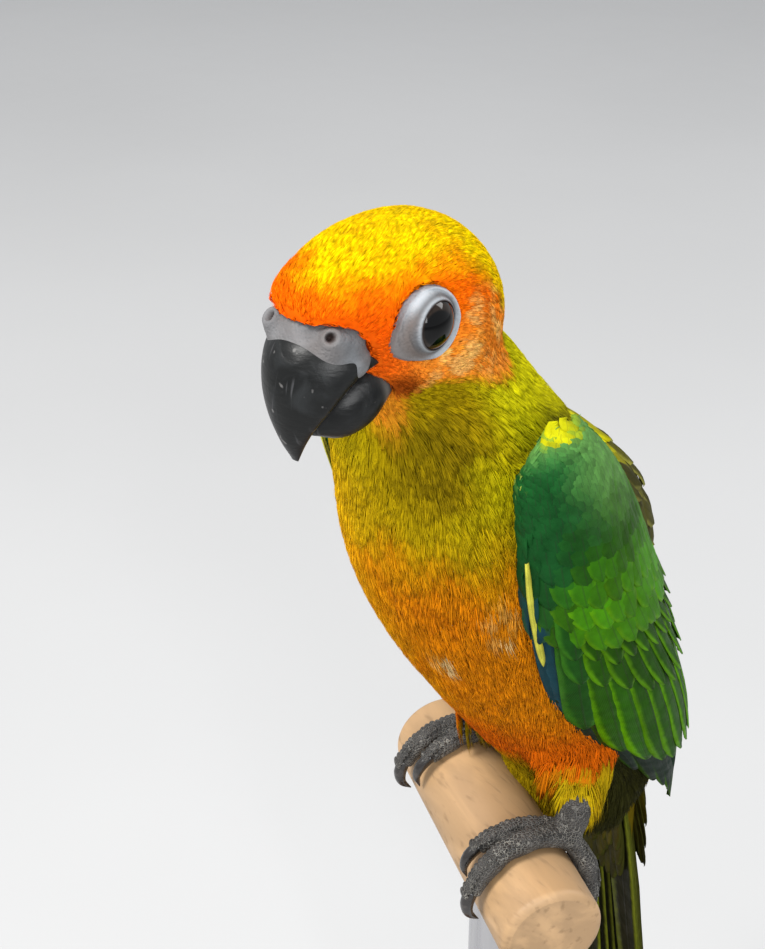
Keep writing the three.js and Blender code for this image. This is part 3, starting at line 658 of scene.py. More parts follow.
class Finish(Maker):
    """A material and the calls for what its shader reads."""

    def __init__(self, name, **fixed):
        self.material = bpy.data.materials.new(name)
        self.material.use_nodes = True
        super().__init__(self.material.node_tree)
        self.shader = self.nodes["Principled BSDF"]
        for socket, value in fixed.items():
            self.shader.inputs[socket.replace("_", " ")].default_value = value

    def drive(self, **wires):
        """Feeds the shader's sockets and hands over the material."""
        for socket, value in wires.items():
            self.feed(self.shader.inputs[socket.replace("_", " ")], value)
        return self.material

    def place(self, scale=(1.0, 1.0, 1.0), turn=(0.0, 0.0, 0.0)):
        """Places on the piece, stretched and turned."""
        coordinates = self.node("ShaderNodeTexCoord", {}, out="Object")
        return self.node("ShaderNodeMapping", {}, coordinates, Scale=scale, Rotation=turn)

    def attribute(self, name, out="Color"):
        return self.node("ShaderNodeAttribute", {"attribute_name": name}, out=out)

    def noise(self, scale, detail=3.0, at=None, distortion=0.0):
        at = at or self.place()
        sockets = {"Scale": scale, "Detail": detail, "Distortion": distortion}
        return self.node("ShaderNodeTexNoise", {}, at, out="Fac", **sockets)

    def cells(self, scale, feature="F1", at=None):
        at = at or self.place()
        return self.node("ShaderNodeTexVoronoi", {"feature": feature}, at, Scale=scale, out="Distance")

    def steps(self, wire, low, high, to_low=0.0, to_high=1.0):
        """A smooth step of a value from one range to another."""
        settings = {"interpolation_type": "SMOOTHSTEP"}
        return self.node("ShaderNodeMapRange", settings, wire, low, high, to_low, to_high)

    def blend(self, share, first, second, how="MIX"):
        new = self.nodes.new("ShaderNodeMix")
        new.data_type, new.blend_type = "RGBA", how
        for socket, value in ((0, share), (6, first), (7, second)):
            self.feed(new.inputs[socket], value)
        return Wire(self, new.outputs[2])

    def scaled(self, tone, amount):
        return self.node("ShaderNodeVectorMath", {"operation": "SCALE"}, tone, Scale=amount)

    def bump(self, height, strength, distance):
        return self.node("ShaderNodeBump", {}, Strength=strength, Distance=distance, Height=height)


def shade(name, share=1.0):
    """A colour of the settings for a shader's socket, darkened to a share."""
    return tuple(float(v) * share for v in to_linear(colour(name)))


def down_finish(name):
    """Body feathers and the skin under them: the tone painted on each point, with fine variation."""
    finish = Finish(name, Roughness=0.85, Specular_IOR_Level=0.03)
    mottle = finish.steps(finish.noise(900.0), 0.25, 0.75, 0.92, 1.1)
    tone = finish.scaled(finish.attribute("Tone"), mottle)
    return finish.drive(Base_Color=tone, Normal=finish.bump(finish.noise(2600.0), 0.15, 0.0002))


def vane_finish(name, gloss=0.45):
    """Feathers with a vane: a tone, an edge colour, a shaft and barbs that run slanting from it."""
    finish = Finish(name, Specular_IOR_Level=0.035)
    uv = finish.node("ShaderNodeUVMap", {"uv_map": "Vane"})
    split = finish.node("ShaderNodeSeparateXYZ", {}, uv)
    along = Wire(finish, split.socket.node.outputs["Y"])
    side = (split - 0.5).maths("ABSOLUTE") * 2
    slant = (along * 46 - side * 9) * 6.283
    barbs = slant.maths("SINE") * 0.5 + 0.5
    shaft = finish.steps(side, 0.02, 0.09, 1.0, 0.0)
    wander = finish.noise(700.0, 2.0) * 0.3
    edge = finish.steps(side + wander + finish.steps(along, 0.7, 1.0) * 0.3, 0.72, 1.12)
    tone = finish.blend(edge, finish.attribute("Tone"), finish.attribute("Rim"))
    mottle = finish.steps(finish.noise(420.0, 4.0), 0.25, 0.75, 0.82, 1.18) * (0.94 + barbs * 0.12)
    tone = finish.scaled(tone, mottle)
    tone = finish.blend(shaft * 0.3, tone, (0.02, 0.02, 0.015))
    height = barbs * 0.5 + shaft * 1.2
    rough = finish.steps(finish.noise(300.0), 0.3, 0.7, gloss, gloss + 0.16)
    return finish.drive(Base_Color=tone, Roughness=rough, Normal=finish.bump(height, 0.35, 0.00012))


def bare_skin_finish():
    """Wrinkled whitish skin. The red of its tone paints near black shade into the nostrils and the crease by
    the eyeball, the green pales it and the blue warms it.
    """
    finish = Finish("bare_skin", Specular_IOR_Level=0.12)
    split = finish.node("ShaderNodeSeparateColor", {}, finish.attribute("Tone")).socket.node
    painted_shade, pale, pink = (Wire(finish, split.outputs[i]) for i in range(3))
    cloud = finish.steps(finish.noise(330.0, 4.0), 0.35, 0.7)
    tone = finish.blend(cloud, shade("bare_skin"), shade("bare_skin", 0.7))
    tone = finish.blend(pink, tone, (0.14, 0.11, 0.095))
    tone = finish.blend(pale, tone, (0.4, 0.43, 0.46))
    # Painted shade: near black where the red of the tone marks the nostrils and the lid's crease.
    tone = finish.blend(painted_shade, tone, (0.03, 0.02, 0.018))
    creases = finish.noise(1100.0, 4.0, distortion=0.6) + finish.steps(finish.cells(1700.0), 0.1, 0.6) * 0.5
    rough = finish.steps(finish.noise(500.0), 0.3, 0.7, 0.45, 0.65)
    return finish.drive(Base_Color=tone, Roughness=rough, Normal=finish.bump(creases, 0.45, 0.0003))


def bill_finish():
    """Charcoal horn with growth lines, rubbed patches, scuffs and a paler cutting edge."""
    finish = Finish("bill_horn", Coat_Weight=0.03, Coat_Roughness=0.3, Specular_IOR_Level=0.2)
    rubbed = finish.steps(finish.noise(150.0, 6.0, distortion=1.0), 0.5, 0.75)
    streaks = finish.place((1.0, 0.25, 0.1), (0.6, 0.3, 0.0))
    scratches = finish.steps(finish.noise(700.0, 3.0, streaks), 0.6, 0.7)
    chips = finish.steps(finish.noise(480.0, 2.0), 0.66, 0.72)
    lines = finish.noise(420.0, 3.0, finish.place((1.0, 1.0, 3.0)))
    tone = finish.blend(rubbed * 0.4, shade("bill"), (0.03, 0.033, 0.035))
    tone = finish.blend(scratches * 0.22, tone, (0.2, 0.2, 0.21))
    tone = finish.blend(chips * 0.3, tone, (0.32, 0.31, 0.3))
    tone = finish.blend(finish.attribute("Tone", "Fac"), tone, (0.27, 0.25, 0.23))
    rough = 0.36 + rubbed * 0.2 + scratches * 0.15
    bump = finish.bump(lines + rubbed * 0.6, 0.35, 0.00025)
    return finish.drive(Base_Color=tone, Roughness=rough, Normal=bump)


def scaly_finish():
    """Feet: small dark scales with paler worn edges."""
    finish = Finish("foot_scales", Specular_IOR_Level=0.35)
    rim = finish.cells(1450.0, "DISTANCE_TO_EDGE", finish.place((1.0, 1.0, 1.25)))
    edge = finish.steps(rim + finish.noise(600.0, 2.0) * 0.06, 0.04, 0.12, 1.0, 0.0)
    worn = finish.steps(finish.noise(240.0, 4.0), 0.45, 0.7)
    cloud = finish.steps(finish.noise(330.0, 4.0), 0.35, 0.7)
    tone = finish.blend(cloud, shade("feet"), shade("feet", 0.4))
    tone = finish.blend(edge * (0.25 + worn * 0.5), tone, shade("scale_edge"))
    bump = finish.bump(finish.steps(rim, 0.0, 0.25), 0.7, 0.0004)
    return finish.drive(Base_Color=tone, Roughness=0.5 + edge * 0.2, Normal=bump)


def claw_finish():
    """Black horn, rubbed paler in places."""
    finish = Finish("claw_horn", Coat_Weight=0.3, Coat_Roughness=0.2)
    worn = finish.steps(finish.noise(800.0, 4.0), 0.5, 0.75)
    tone = finish.blend(worn * 0.5, (0.012, 0.01, 0.009), (0.07, 0.06, 0.055))
    return finish.drive(Base_Color=tone, Roughness=0.25 + worn * 0.25, Normal=finish.bump(worn, 0.2, 0.0002))


def eye_finish(side):
    """A wet, nearly black eye: a dark brown iris round a wide pupil."""
    finish = Finish(f"eye_{side}", Roughness=0.05, Specular_IOR_Level=0.22)
    reach = finish.attribute("Tone", "Fac")
    iris = finish.blend(finish.noise(1500.0, 3.0), (0.006, 0.004, 0.003), (0.026, 0.017, 0.012))
    tone = finish.blend(finish.steps(reach, 0.5, 0.58), (0.001, 0.001, 0.0012), iris)
    return finish.drive(Base_Color=finish.blend(finish.steps(reach, 0.7, 0.76), tone, (0.003, 0.002, 0.002)))


def wood_finish(name, base, stretch, gloss, coat):
    """Wood with grain along one axis, pores and worn edges."""
    finish = Finish(name, Coat_Weight=coat, Coat_Roughness=0.25)
    at = finish.place(stretch)
    rings = finish.noise(60.0, 6.0, at, 1.2)
    pores = finish.steps(finish.noise(600.0, 2.0, at), 0.55, 0.75)
    wave = (rings * 14).maths("SINE") * 0.5 + 0.5
    tone = finish.blend(wave * 0.6, shade(base), shade(base, 0.5))
    tone = finish.blend(pores * 0.4, tone, shade(base, 0.3))
    rough = gloss + pores * 0.2 + wave * 0.06
    return finish.drive(Base_Color=tone, Roughness=rough, Normal=finish.bump(wave * 0.3 - pores, 0.2, 0.0002))


def steel_finish():
    """Steel brushed along the rod."""
    finish = Finish("stand_steel", Metallic=1.0)
    brushed = finish.noise(900.0, 2.0, finish.place((1.0, 1.0, 0.02)))
    tone = finish.blend(brushed, (0.42, 0.42, 0.44), (0.6, 0.6, 0.61))
    rough = finish.steps(brushed, 0.3, 0.7, 0.24, 0.4)
    return finish.drive(Base_Color=tone, Roughness=rough, Normal=finish.bump(brushed, 0.15, 0.00005))


def floor_finish():
    """A pale matt floor with the faintest clouds."""
    finish = Finish("floor", Specular_IOR_Level=0.2)
    cloud = finish.steps(finish.noise(3.0), 0.3, 0.7, 0.98, 1.02)
    base = finish.blend(1.0, (1, 1, 1), shade("floor"), "MULTIPLY")
    tone = finish.scaled(base, cloud)
    return finish.drive(Base_Color=tone, Roughness=finish.steps(finish.noise(40.0), 0.3, 0.7, 0.7, 0.85))


# Markings


# Where yellow meets orange over the eye, and orange meets olive under it: forward and up in the head.
BROW = [(-18, -1), (-13, 3), (-10, 8), (-5.5, 11.3), (1, 12.3), (8, 13.2), (14.5, 14), (19, 14), (23, 13)]
CHEEK = [(-18, -9), (-10, -9), (-4, -7.6), (1, -6), (4.6, -4.2), (7, -7), (9, -10.5), (14, -12)]


def spot(points, centre, reach):
    """A soft round spot: 1 at its centre and 0 past its reach."""
    return 1 - ramp(np.linalg.norm((points - np.array(centre)) / reach, axis=-1), 0.35, 1.0)


def markings(points):
    """Display colours of skin and coat at points of the bird's frame."""
    x, y, z = points.T
    forward, left, up = from_head(points)
    side = np.abs(left)
    back = y - np.interp(z, SPINE_Z, SPINE_Y)
    patch = blotches(points, 6.0) - 0.5
    fine = blotches(points, 1.9, 3.0) - 0.5

    tone = mix(colour("breast"), colour("belly"), 1 - ramp(z + 9 * patch, 69, 84))
    # Golden yellow on the front and the bird's right side of the breast, the side that faces the key lamp:
    # painted light.
    edge = (1 - ramp(x, -14, 10)) * ramp(-back, 3, 14)
    tone = mix(tone, colour("breast_edge"), 0.8 * edge * ramp(z, 12, 30))
    cloud = ramp(fine + patch, 0.1, 0.5) * 0.5 * (1 - ramp(z, 60, 80))
    tone = mix(tone, colour("belly") * [1.0, 0.88, 0.9], cloud)
    # The sides under the wings are painted a darker brownish orange: painted shade under the wings.
    tone = mix(tone, colour("flank"), 0.7 * ramp(np.abs(x) + 0.3 * back, 17, 25) * (1 - ramp(z, 66, 88)))
    tone = mix(tone, colour("vent"), 1 - ramp(z + 5 * patch, 24, 40))
    tone = mix(tone, colour("vent_tip"), 1 - ramp(z + 5 * patch + 2 * fine, 15, 21))
    tone = mix(tone, colour("tail") * 1.3, ramp(y + 4 * patch, 8, 12) * (1 - ramp(z + 3 * fine, 17, 22)))
    for centre, reach in (((8.3, -27.3, 52.3), (3, 6, 6)), ((20.1, -24.5, 64), (3.2, 5, 9))):
        tone = mix(tone, colour("down"), 0.8 * spot(points, centre, reach) * ramp(fine, -0.2, 0.2))

    tone = mix(tone, colour("throat"), ramp(z, 86, 98) * (1 - ramp(x + 2 + 5 * patch, 3, 11)))
    for mirror in (1, -1):
        collar = spot(points, (14 * mirror, -33, 97), (11, 13, 13))
        tone = mix(tone, colour("collar"), 0.85 * collar * np.clip(0.75 + fine, 0, 1))
    neck = np.maximum(ramp(back + 5 * patch, -4, 5), ramp(np.abs(x) - 0.25 * (z - 90) + 4 * patch, 13, 19))
    tone = mix(tone, colour("nape"), neck * ramp(z, 80, 94))
    tone = mix(tone, colour("mantle"), ramp(back + 3 * patch, 8, 14) * (1 - ramp(z + 0.5 * back, 98, 106)))
    tone = mix(tone, colour("rump"), ramp(back + 4 * patch, 5, 10) * (1 - ramp(z, 30, 46)))

    edge = np.interp(forward, *np.array(CHEEK, float).T)
    head = ramp(up + 3.0 * patch + 1.5 * fine, edge - 1.3, edge + 1.3) * ramp(forward + 2.5 * patch, -17, -14)
    brow = np.interp(forward, *np.array(BROW, float).T)
    crown = mix(colour("crown"), colour("crown_streak"), ramp(fine + 0.5 * patch, 0.2, 0.42) * 0.7)
    crown = mix(crown, colour("throat"), 0.5 * ramp(fine - 0.4 * patch, 0.3, 0.42))
    face = mix(colour("cheek"), colour("forehead"), ramp(up, 0, 8))
    streak = ramp(fine + 0.3 * patch, -0.08, 0.22) * (1 - ramp(forward, 3, 9))
    streak = streak * (1 - ramp(up, 5, 9)) * ramp(up, -9, -5)
    face = mix(face, colour("cheek_streak"), 0.8 * streak)
    near_bill = 1 - ramp(np.hypot(forward - 17, up - 1), 5, 12)
    face = mix(face, colour("lores"), 0.7 * near_bill * (1 - ramp(up, 9, 12)))
    local = np.stack([forward, side, up], -1)
    # A dark orange spot at the corner of the gape: painted shadow.
    face = mix(face, colour("lores") * 0.5, 0.7 * spot(local, (8.0, 10, -4.4), 4.0))
    face = mix(face, colour("collar"), 0.7 * spot(local, (-13.3, 12.4, 3.4), 2.6))
    whole = mix(face, crown, ramp(up + 5 * patch + 3 * fine, brow - 2.6, brow + 3.2))
    strip = sum(spot(points, in_head(8, 7.2 * mirror, -11.5), (6, 4.5, 8)) for mirror in (1, -1))
    tone = mix(tone, colour("cheek"), 0.75 * np.clip(strip, 0, 1))
    return np.clip(mix(tone, whole, head), 0, 1)


# Feathers


def nearest(points):
    """The closest points of the skin and the way out there, for points of the bird's frame."""
    where = np.empty_like(points)
    out = np.empty_like(points)
    tree = made["tree"]
    for i, point in enumerate((points + SHIFT) * MM):
        where[i], out[i], _, _ = tree.find_nearest(Vector(point))
    return where / MM - SHIFT, out


def lie(points, normals):
    """The way that feathers lie at points of the skin."""
    forward, _, up = from_head(points)
    fan = unit(points - in_head(15.0, 0.0, -1.0)) - 0.55 * HEAD_FORWARD
    fan = fan + UP * (-0.02 * np.maximum(0, -up))[:, None]
    body = SPINE_DOWN + LEFT * (-0.012 * points[:, :1])
    body = body + np.where(points[:, 2:] > 78, -UP * 0.3, 0)
    share = ramp(forward, -13, 2) * ramp(up, -17, -7)
    way = mix(body, unit(fan), share)
    way = way + 0.5 * BACK * ((1 - ramp(forward, -16, -6)) * ramp(up, 2, 8))[:, None]
    for _, side in SIDES:
        eye = in_head(EYE["forward"], side * EYE["side"] * 1.3, EYE["up"])
        from_eye = points - eye
        reach = np.linalg.norm(from_eye, axis=1)
        away = unit(from_eye)
        inward = np.minimum((unit(way) * away).sum(1), 0.35) - 0.35
        way = way - away * (inward * (1 - ramp(reach, 7.0, 10.5)) * np.linalg.norm(way, axis=1))[:, None]
    way = way - normals * (way * normals).sum(1, keepdims=True)
    return unit(way)


def ring_outline(angle):
    """How far the bare ring reaches from the eye's middle at an angle of the side view."""
    turns = [(np.degrees(angle) + step + 180) % 360 - 180 for step in (-16, -8, 0, 8, 16)]
    return sum(np.interp(turn, *np.array(RING_OUTLINE, float).T) for turn in turns) / len(turns)


def ring_reach(points):
    """Distance from the eye's middle in the side view, as a share of the bare ring's reach."""
    forward, left, up = from_head(points)
    df, du = forward - EYE["forward"], up - EYE["up"]
    return np.where(np.abs(left) > 6, np.hypot(df, du) / ring_outline(np.arctan2(du, df)), 9.0)


def scatter(points, spacing, seed):
    """Picks points so that no two are nearer than the spacing at their place."""
    cell = float(spacing.max())
    keys = np.floor(points / cell).astype(int)
    around = [(a, b, c) for a in (-1, 0, 1) for b in (-1, 0, 1) for c in (-1, 0, 1)]
    taken, kept = {}, []
    for i in np.random.default_rng(seed).permutation(len(points)):
        (x, y, z), (a, b, c), limit = points[i], keys[i], spacing[i] ** 2
        near = (q for u, v, w in around for q in taken.get((a + u, b + v, c + w), ()))
        if all((x - q[0]) ** 2 + (y - q[1]) ** 2 + (z - q[2]) ** 2 >= limit for q in near):
            taken.setdefault((a, b, c), []).append((x, y, z))
            kept.append(i)
    return np.array(kept)


def patch_places(rough, cells=BAKE_CELLS):
    """A cell of its own in the bake map for each root, near the root's own place on the unwrapped skin."""
    taken = set()
    places = np.empty((len(rough), 2))
    for i, (u, v) in enumerate(np.clip(rough, 0, 0.9999)):
        column, row = int(u * cells), int(v * cells)
        reach, free = 0, []
        while not free:
            around = range(-reach, reach + 1)
            ring = ((column + a, row + b) for a in around for b in around if max(abs(a), abs(b)) == reach)
            free = [cell for cell in ring if min(cell) >= 0 and max(cell) < cells and cell not in taken][:1]
            reach += 1
        taken.add(free[0])
        places[i] = free[0]
    return places / cells


def unwrapped(points):
    """The skin's own unwrap: the turn round the spine and the height along it."""
    y = np.interp(points[:, 2], SPINE_Z, SPINE_Y)
    y = np.where(points[:, 2] > 100, HEAD_CENTRE[1], y)
    turn = np.arctan2(points[:, 0], points[:, 1] - y) / (2 * np.pi) + 0.5
    rise = (points[:, 2] + 20) / 160
    return np.stack([turn, rise], -1)


STOPS = np.array([0.0, 1 / 3, 2 / 3, 1.0])


def along_spine(values, share):
    """Values given at four stops along a feather, read at shares of its length."""
    weights = []
    for i, stop in enumerate(STOPS):
        w = 1.0
        for j, other in enumerate(STOPS):
            if i != j:
                w = w * (share - other) / (stop - other)
        weights.append(w)
    return np.einsum("...k,...kd->...d", np.stack(weights, -1), values)


def feather_spines(roots, normals, ways, length, heights):
    """Four stops along each feather, at given heights over the skin, with the ways out and across there."""
    count = len(roots)
    stops = np.empty((count, 4, 3))
    outs = np.empty((count, 4, 3))
    stops[:, 0], outs[:, 0] = roots, normals
    way = ways
    for k in (1, 2, 3):
        ahead = stops[:, k - 1] + way * (length / 3)[:, None]
        found, out = nearest(ahead)
        stops[:, k], outs[:, k] = found, unit(out + outs[:, k - 1])
        way = unit(way - outs[:, k] * (way * outs[:, k]).sum(1, keepdims=True))
    tangents = np.gradient(stops, axis=1)
    across = unit(np.cross(outs, tangents))
    return stops + outs * heights[..., None], outs, across


def tuft_mesh(name, spines, outs, across, width, thickness, blades, rings, tones, seed, uv):
    """Tufts of a broad leaf and thin barbs that fan out over it. Every array has one entry for each tuft."""
    rng = np.random.default_rng(seed)
    count = len(spines)
    place = np.linspace(-1, 1, blades) + rng.normal(0, 0.16, (count, blades))
    reach = 1 - 0.28 * place**2 - 0.25 * rng.random((count, blades))
    lift = rng.normal(0.05, 0.06, (count, blades)) + 0.1 * (1 - place**2)
    half = thickness[:, None] * (0.35 + 0.3 * rng.random((count, blades)))
    tall = half * 0.55
    leaf = blades // 2
    place[:, leaf], reach[:, leaf], lift[:, leaf] = 0, 0.84, -0.12
    half[:, leaf], tall[:, leaf] = width * 0.33, 0.07
    grown = np.linspace(0, 1, rings + 1) ** 0.9
    swell = np.append(np.sin(np.linspace(0.6, 2.5, rings)), 0.0)
    spread = np.linspace(0.35, 1.0, rings + 1)
    bend = rng.normal(0, 0.12, (count, blades))
    points = []
    for k in range(rings + 1):
        share = reach * grown[k]
        at = along_spine(spines[:, None], share)
        out = unit(along_spine(outs[:, None], share))
        side = unit(along_spine(across[:, None], share))
        offset = (place * spread[k] + bend * grown[k] ** 2) * width[:, None] / 2
        middle = at + side * offset[..., None] + out * (lift * grown[k] * width[:, None] * 0.4)[..., None]
        flat = (half * swell[k])[..., None]
        if k < rings:
            rise = (tall * swell[k])[..., None]
            points += [middle - side * flat, middle + side * flat, middle + out * rise]
        else:
            points.append(middle)
    each = 3 * rings + 1
    points = np.stack(points, 2).reshape(-1, 3)
    faces = [(0, 2, 1)]
    for k in range(rings - 1):
        for i, j in ((0, 1), (1, 2), (2, 0)):
            a, b = 3 * k, 3 * k + 3
            faces += [(a + i, a + j, b + j), (a + i, b + j, b + i)]
    last, tip = 3 * (rings - 1), 3 * rings
    faces += [(last, last + 1, tip), (last + 1, last + 2, tip), (last + 2, last, tip)]
    starts = np.arange(count * blades)[:, None, None] * each
    mesh = mesh_from(name, points, (np.array(faces)[None] + starts).reshape(-1, 3))

    blade_tone = tones[:, None] * (1 + rng.normal(0, 0.045, (count, blades, 1)))
    grow = np.append(np.repeat(grown[:-1], 3), 1.0)
    # Each blade is painted darker towards its root: painted shade deep in the coat.
    painted_root_shade = (0.88 + 0.15 * grow)[None, None, :, None]
    paint(mesh, "Tone", np.clip(blade_tone[:, :, None] * painted_root_shade, 0, 1).reshape(-1, 3))
    sway = np.append(np.tile([-0.3, 0.3, 0.0], rings), 0.0) / blades
    cell = (np.arange(blades) + 0.5) / blades
    bake = np.empty((count, blades, each, 2))
    bake[..., 0] = uv[:, None, None, 0] + BAKE_PATCH * (cell[None, :, None] + sway)
    bake[..., 1] = uv[:, None, None, 1] + BAKE_PATCH * (0.04 + 0.92 * grow)
    lay_uv(mesh, "OFBake", bake.reshape(-1, 2))
    return mesh


# Places across a vane, from one edge to the other.
VANE_ACROSS = np.linspace(-1, 1, 5)


def vane_points(top, bottom):
    """Closed blades from the points of their outer and inner faces, by feather, row, column and axis."""
    count, rows, columns, _ = top.shape
    points = np.concatenate([top.reshape(count, -1, 3), bottom.reshape(count, -1, 3)], 1)
    outer = grid_faces(rows, columns)
    inner = grid_faces(rows, columns, rows * columns)[:, ::-1]
    under = rows * columns
    grid = np.arange(under).reshape(rows, columns)
    rim = np.concatenate([grid[0], grid[1:, -1], grid[-1, -2::-1], grid[-2:0:-1, 0]])
    after = np.roll(rim, -1)
    sides = np.stack([rim, rim + under, after + under, after], -1)
    faces = np.concatenate([outer, inner, sides])
    faces = (faces[None] + np.arange(count)[:, None, None] * points.shape[1]).reshape(-1, 4)
    return points.reshape(-1, 3), faces


def vane_profile(rows, tip, bulge):
    """Shares down a vane, close together at the tip, and the half width there as a share of the full one."""
    share = 1 - (1 - np.linspace(0, 1, rows)) ** 1.5
    rounding = np.sqrt(np.maximum(1 - (np.maximum(share - bulge, 0) / (1 - bulge)) ** 2 * (1 - tip**2), 0))
    return share, (0.5 + 0.5 * np.minimum(1, share * 3)) * rounding


def finish_vanes(name, top, bottom, share, tones, rims, uv, patch):
    """A mesh of vanes with its tones, its own map for shaft and barbs, and its bake map."""
    count, rows, columns, _ = top.shape
    points, faces = vane_points(top, bottom)
    mesh = mesh_from(name, points, faces)
    each = rows * columns * 2
    paint(mesh, "Tone", np.repeat(tones, each, 0))
    paint(mesh, "Rim", np.repeat(rims, each, 0))
    local = np.empty((rows, columns, 2))
    local[..., 0] = (VANE_ACROSS + 1) / 2
    local[..., 1] = share[:, None]
    local = np.tile(local.reshape(-1, 2), (2, 1))
    lay_uv(mesh, "Vane", np.tile(local, (count, 1)))
    inner = local * [0.46, 0.94] + [0.02, 0.03]
    inner[rows * columns :, 0] += 0.5
    lay_uv(mesh, "OFBake", (uv[:, None] + inner[None] * patch).reshape(-1, 2))
    mesh.uv_layers["OFBake"].active = True
    return mesh


def sheet_vanes(name, sheet, feathers, seed, rows=11, mirror=1):
    """Long feathers laid on a sheet. Each is a dict of its ends on the sheet, its sizes and its tones."""
    rng = np.random.default_rng(seed)
    tops, bottoms, sides = [], [], VANE_ACROSS
    for one in feathers:
        share, profile = vane_profile(rows, one["tip"], one.get("bulge", 0.8))
        a = lerp(one["from"][0], one["to"][0], share)[:, None] + 0 * sides
        c = lerp(one["from"][1], one["to"][1], share)[:, None] + 0 * sides
        half = one["width"] / 2 * profile * lerp(1, one.get("narrow", 0.9), share)
        ragged = 1 - 0.05 * rng.random((rows, len(sides))) * (np.abs(sides) > 0.9)
        offset = half[:, None] * sides * ragged
        depth = lerp(*one["depth"], share)[:, None] + lerp(*one["tilt"], share)[:, None] * sides
        depth = depth + one["camber"] * sides**2
        body = one.get("thick", 0.3) / 2 * (1 - 0.55 * sides**2) + 0 * a
        tops.append(sheet(a, c, offset, depth - body))
        bottoms.append(sheet(a, c, offset, depth + body))
    tones, rims = (np.array([one[key] for one in feathers]) for key in ("tone", "rim"))
    wide = math.ceil(math.sqrt(len(feathers)))
    index = np.arange(len(feathers))
    uv = np.stack([index % wide, index // wide], -1) / wide
    top, bottom = (np.array(faces) * [mirror, 1, 1] for faces in (tops, bottoms))
    return facing_out(finish_vanes(name, top, bottom, share, tones, rims, uv, 0.96 / wide))


def body_vanes(name, spines, outs, across, width, tones, rims, uv, rows, thick=0.16, camber=0.12):
    """Small flat feathers that lie along their spines."""
    share, profile = vane_profile(rows, 0.12, 0.5)
    at = along_spine(spines[:, None], share[None])
    out = unit(along_spine(outs[:, None], share[None]))
    side = unit(along_spine(across[:, None], share[None]))
    half = width[:, None] / 2 * profile[None]
    middle = at[:, :, None] + side[:, :, None] * (half[..., None] * VANE_ACROSS)[..., None]
    middle = middle - out[:, :, None] * (camber * width[:, None, None] * VANE_ACROSS**2)[..., None]
    body = thick / 2 * (1 - 0.5 * VANE_ACROSS**2)[None, None, :, None]
    top, bottom = middle + out[:, :, None] * body, middle - out[:, :, None] * body
    return facing_out(finish_vanes(name, top, bottom, share, tones, rims, uv, BAKE_PATCH))


# Operators


class CONURE_OT_skin(bpy.types.Operator):
    """Fuses head, neck, body, thighs and arms into one skin that lies under the coat"""

    bl_idname = "conure.skin"
    bl_label = "Skin"

    def execute(self, context):
        parts = []
        for node in FLESH:
            part = bmesh.new()
            part.from_mesh(frame["nodes"][node].data)
            bmesh.ops.remove_doubles(part, verts=part.verts, dist=1e-6)
            part.normal_update()
            for vert in part.verts:
                vert.co += vert.normal * (FLESH_SWELL * MM)
            parts.append(bpy.data.meshes.new(node))
            part.to_mesh(parts[-1])
            part.free()
        arms = []
        for _, side in SIDES:
            def arm(share, angle, side=side):
                return arm_point(share, angle) * [side, 1, 1]

            arms.append(tube_mesh("arm", arm, 40, 30))
        made["arms"] = tree_of(joined("arms", arms))
        depth = sizes().coat_depth / MM

        def sink(points):
            """The coat's depth, and more behind the thighs, where the wing tips lie close."""
            _, _, up = from_head(points)
            z, side = points[:, 2], np.abs(points[:, 0])
            hollow = ramp(z, 2, 10) * (1 - ramp(z, 30, 38)) * ramp(points[:, 1], 6, 11) * ramp(side, 10, 14)
            return depth * lerp(1.25, 0.8, ramp(up, -16, -6)) + 0.4 + 2.0 * hollow

        mesh = relaxed(remeshed("skin_block", joined("flesh", parts + arms), 0.001), 10, sink)
        points = points_of(mesh)
        corners = [tuple(p.vertices) for p in mesh.polygons]
        made["tree"] = tree_of(mesh)
        # The skin is painted in the coat's colours darkened to 0.88: painted shade between the tufts.
        paint(mesh, "Tone", markings(points) * 0.88)
        add_piece("skin", mesh, down_finish("skin_down"), "plumage_orange", *FLESH)
        areas = np.empty(len(mesh.polygons), np.float32)
        mesh.polygons.foreach_get("area", areas)
        made["faces"] = (np.array(corners), areas, points)
        return {"FINISHED"}


def skin_candidates(count, seed):
    """Evenly spread points on the skin, with the way out of it."""
    corners, areas, points = made["faces"]
    rng = np.random.default_rng(seed)
    picked = rng.choice(len(areas), count, p=areas / areas.sum())
    quad = points[corners[picked]]
    a, b = rng.random((2, count, 1))
    at = lerp(lerp(quad[:, 0], quad[:, 1], a), lerp(quad[:, 3], quad[:, 2], a), b)
    out = unit(np.cross(quad[:, 2] - quad[:, 0], quad[:, 3] - quad[:, 1]))
    return at, out


def clearance(points, trees):
    """The distance from points to the nearest of some solids, up to 4 mm."""
    far = np.full(len(points), 4.0)
    for i, point in enumerate((points + SHIFT) * MM):
        for tree in trees:
            hit = tree.find_nearest(Vector(point), far[i] * MM)
            if hit[0] is not None:
                far[i] = hit[3] / MM
    return far


def under_wing(points):
    """True inside a wing's arm, and on skin that a folded wing hides well."""
    along, across = np.meshgrid(np.linspace(0, 0.92, 34), np.linspace(0, 1, 16), indexing="ij")
    at, out = (v.reshape(-1, 3) for v in wing_point(along, across))
    inner = ((along > 0.06) & (along < 0.74) & (across > 0.2) & (across < 0.85)).ravel()
    folded = points.copy()
    folded[:, 0] = np.abs(folded[:, 0])
    hidden = np.zeros(len(points), bool)
    for start in range(0, len(points), 4000):
        some = folded[start : start + 4000]
        near = ((some[:, None] - at[None]) ** 2).sum(-1).argmin(1)
        hidden[start : start + 4000] = inner[near] & (((some - at[near]) * out[near]).sum(1) < -3.0)
    for i, point in enumerate((points + SHIFT) * MM):
        if not hidden[i]:
            place, normal, _, _ = made["arms"].find_nearest(Vector(point), 0.004)
            hidden[i] = place is not None and (Vector(point) - place).dot(normal) < -0.0003
    return hidden


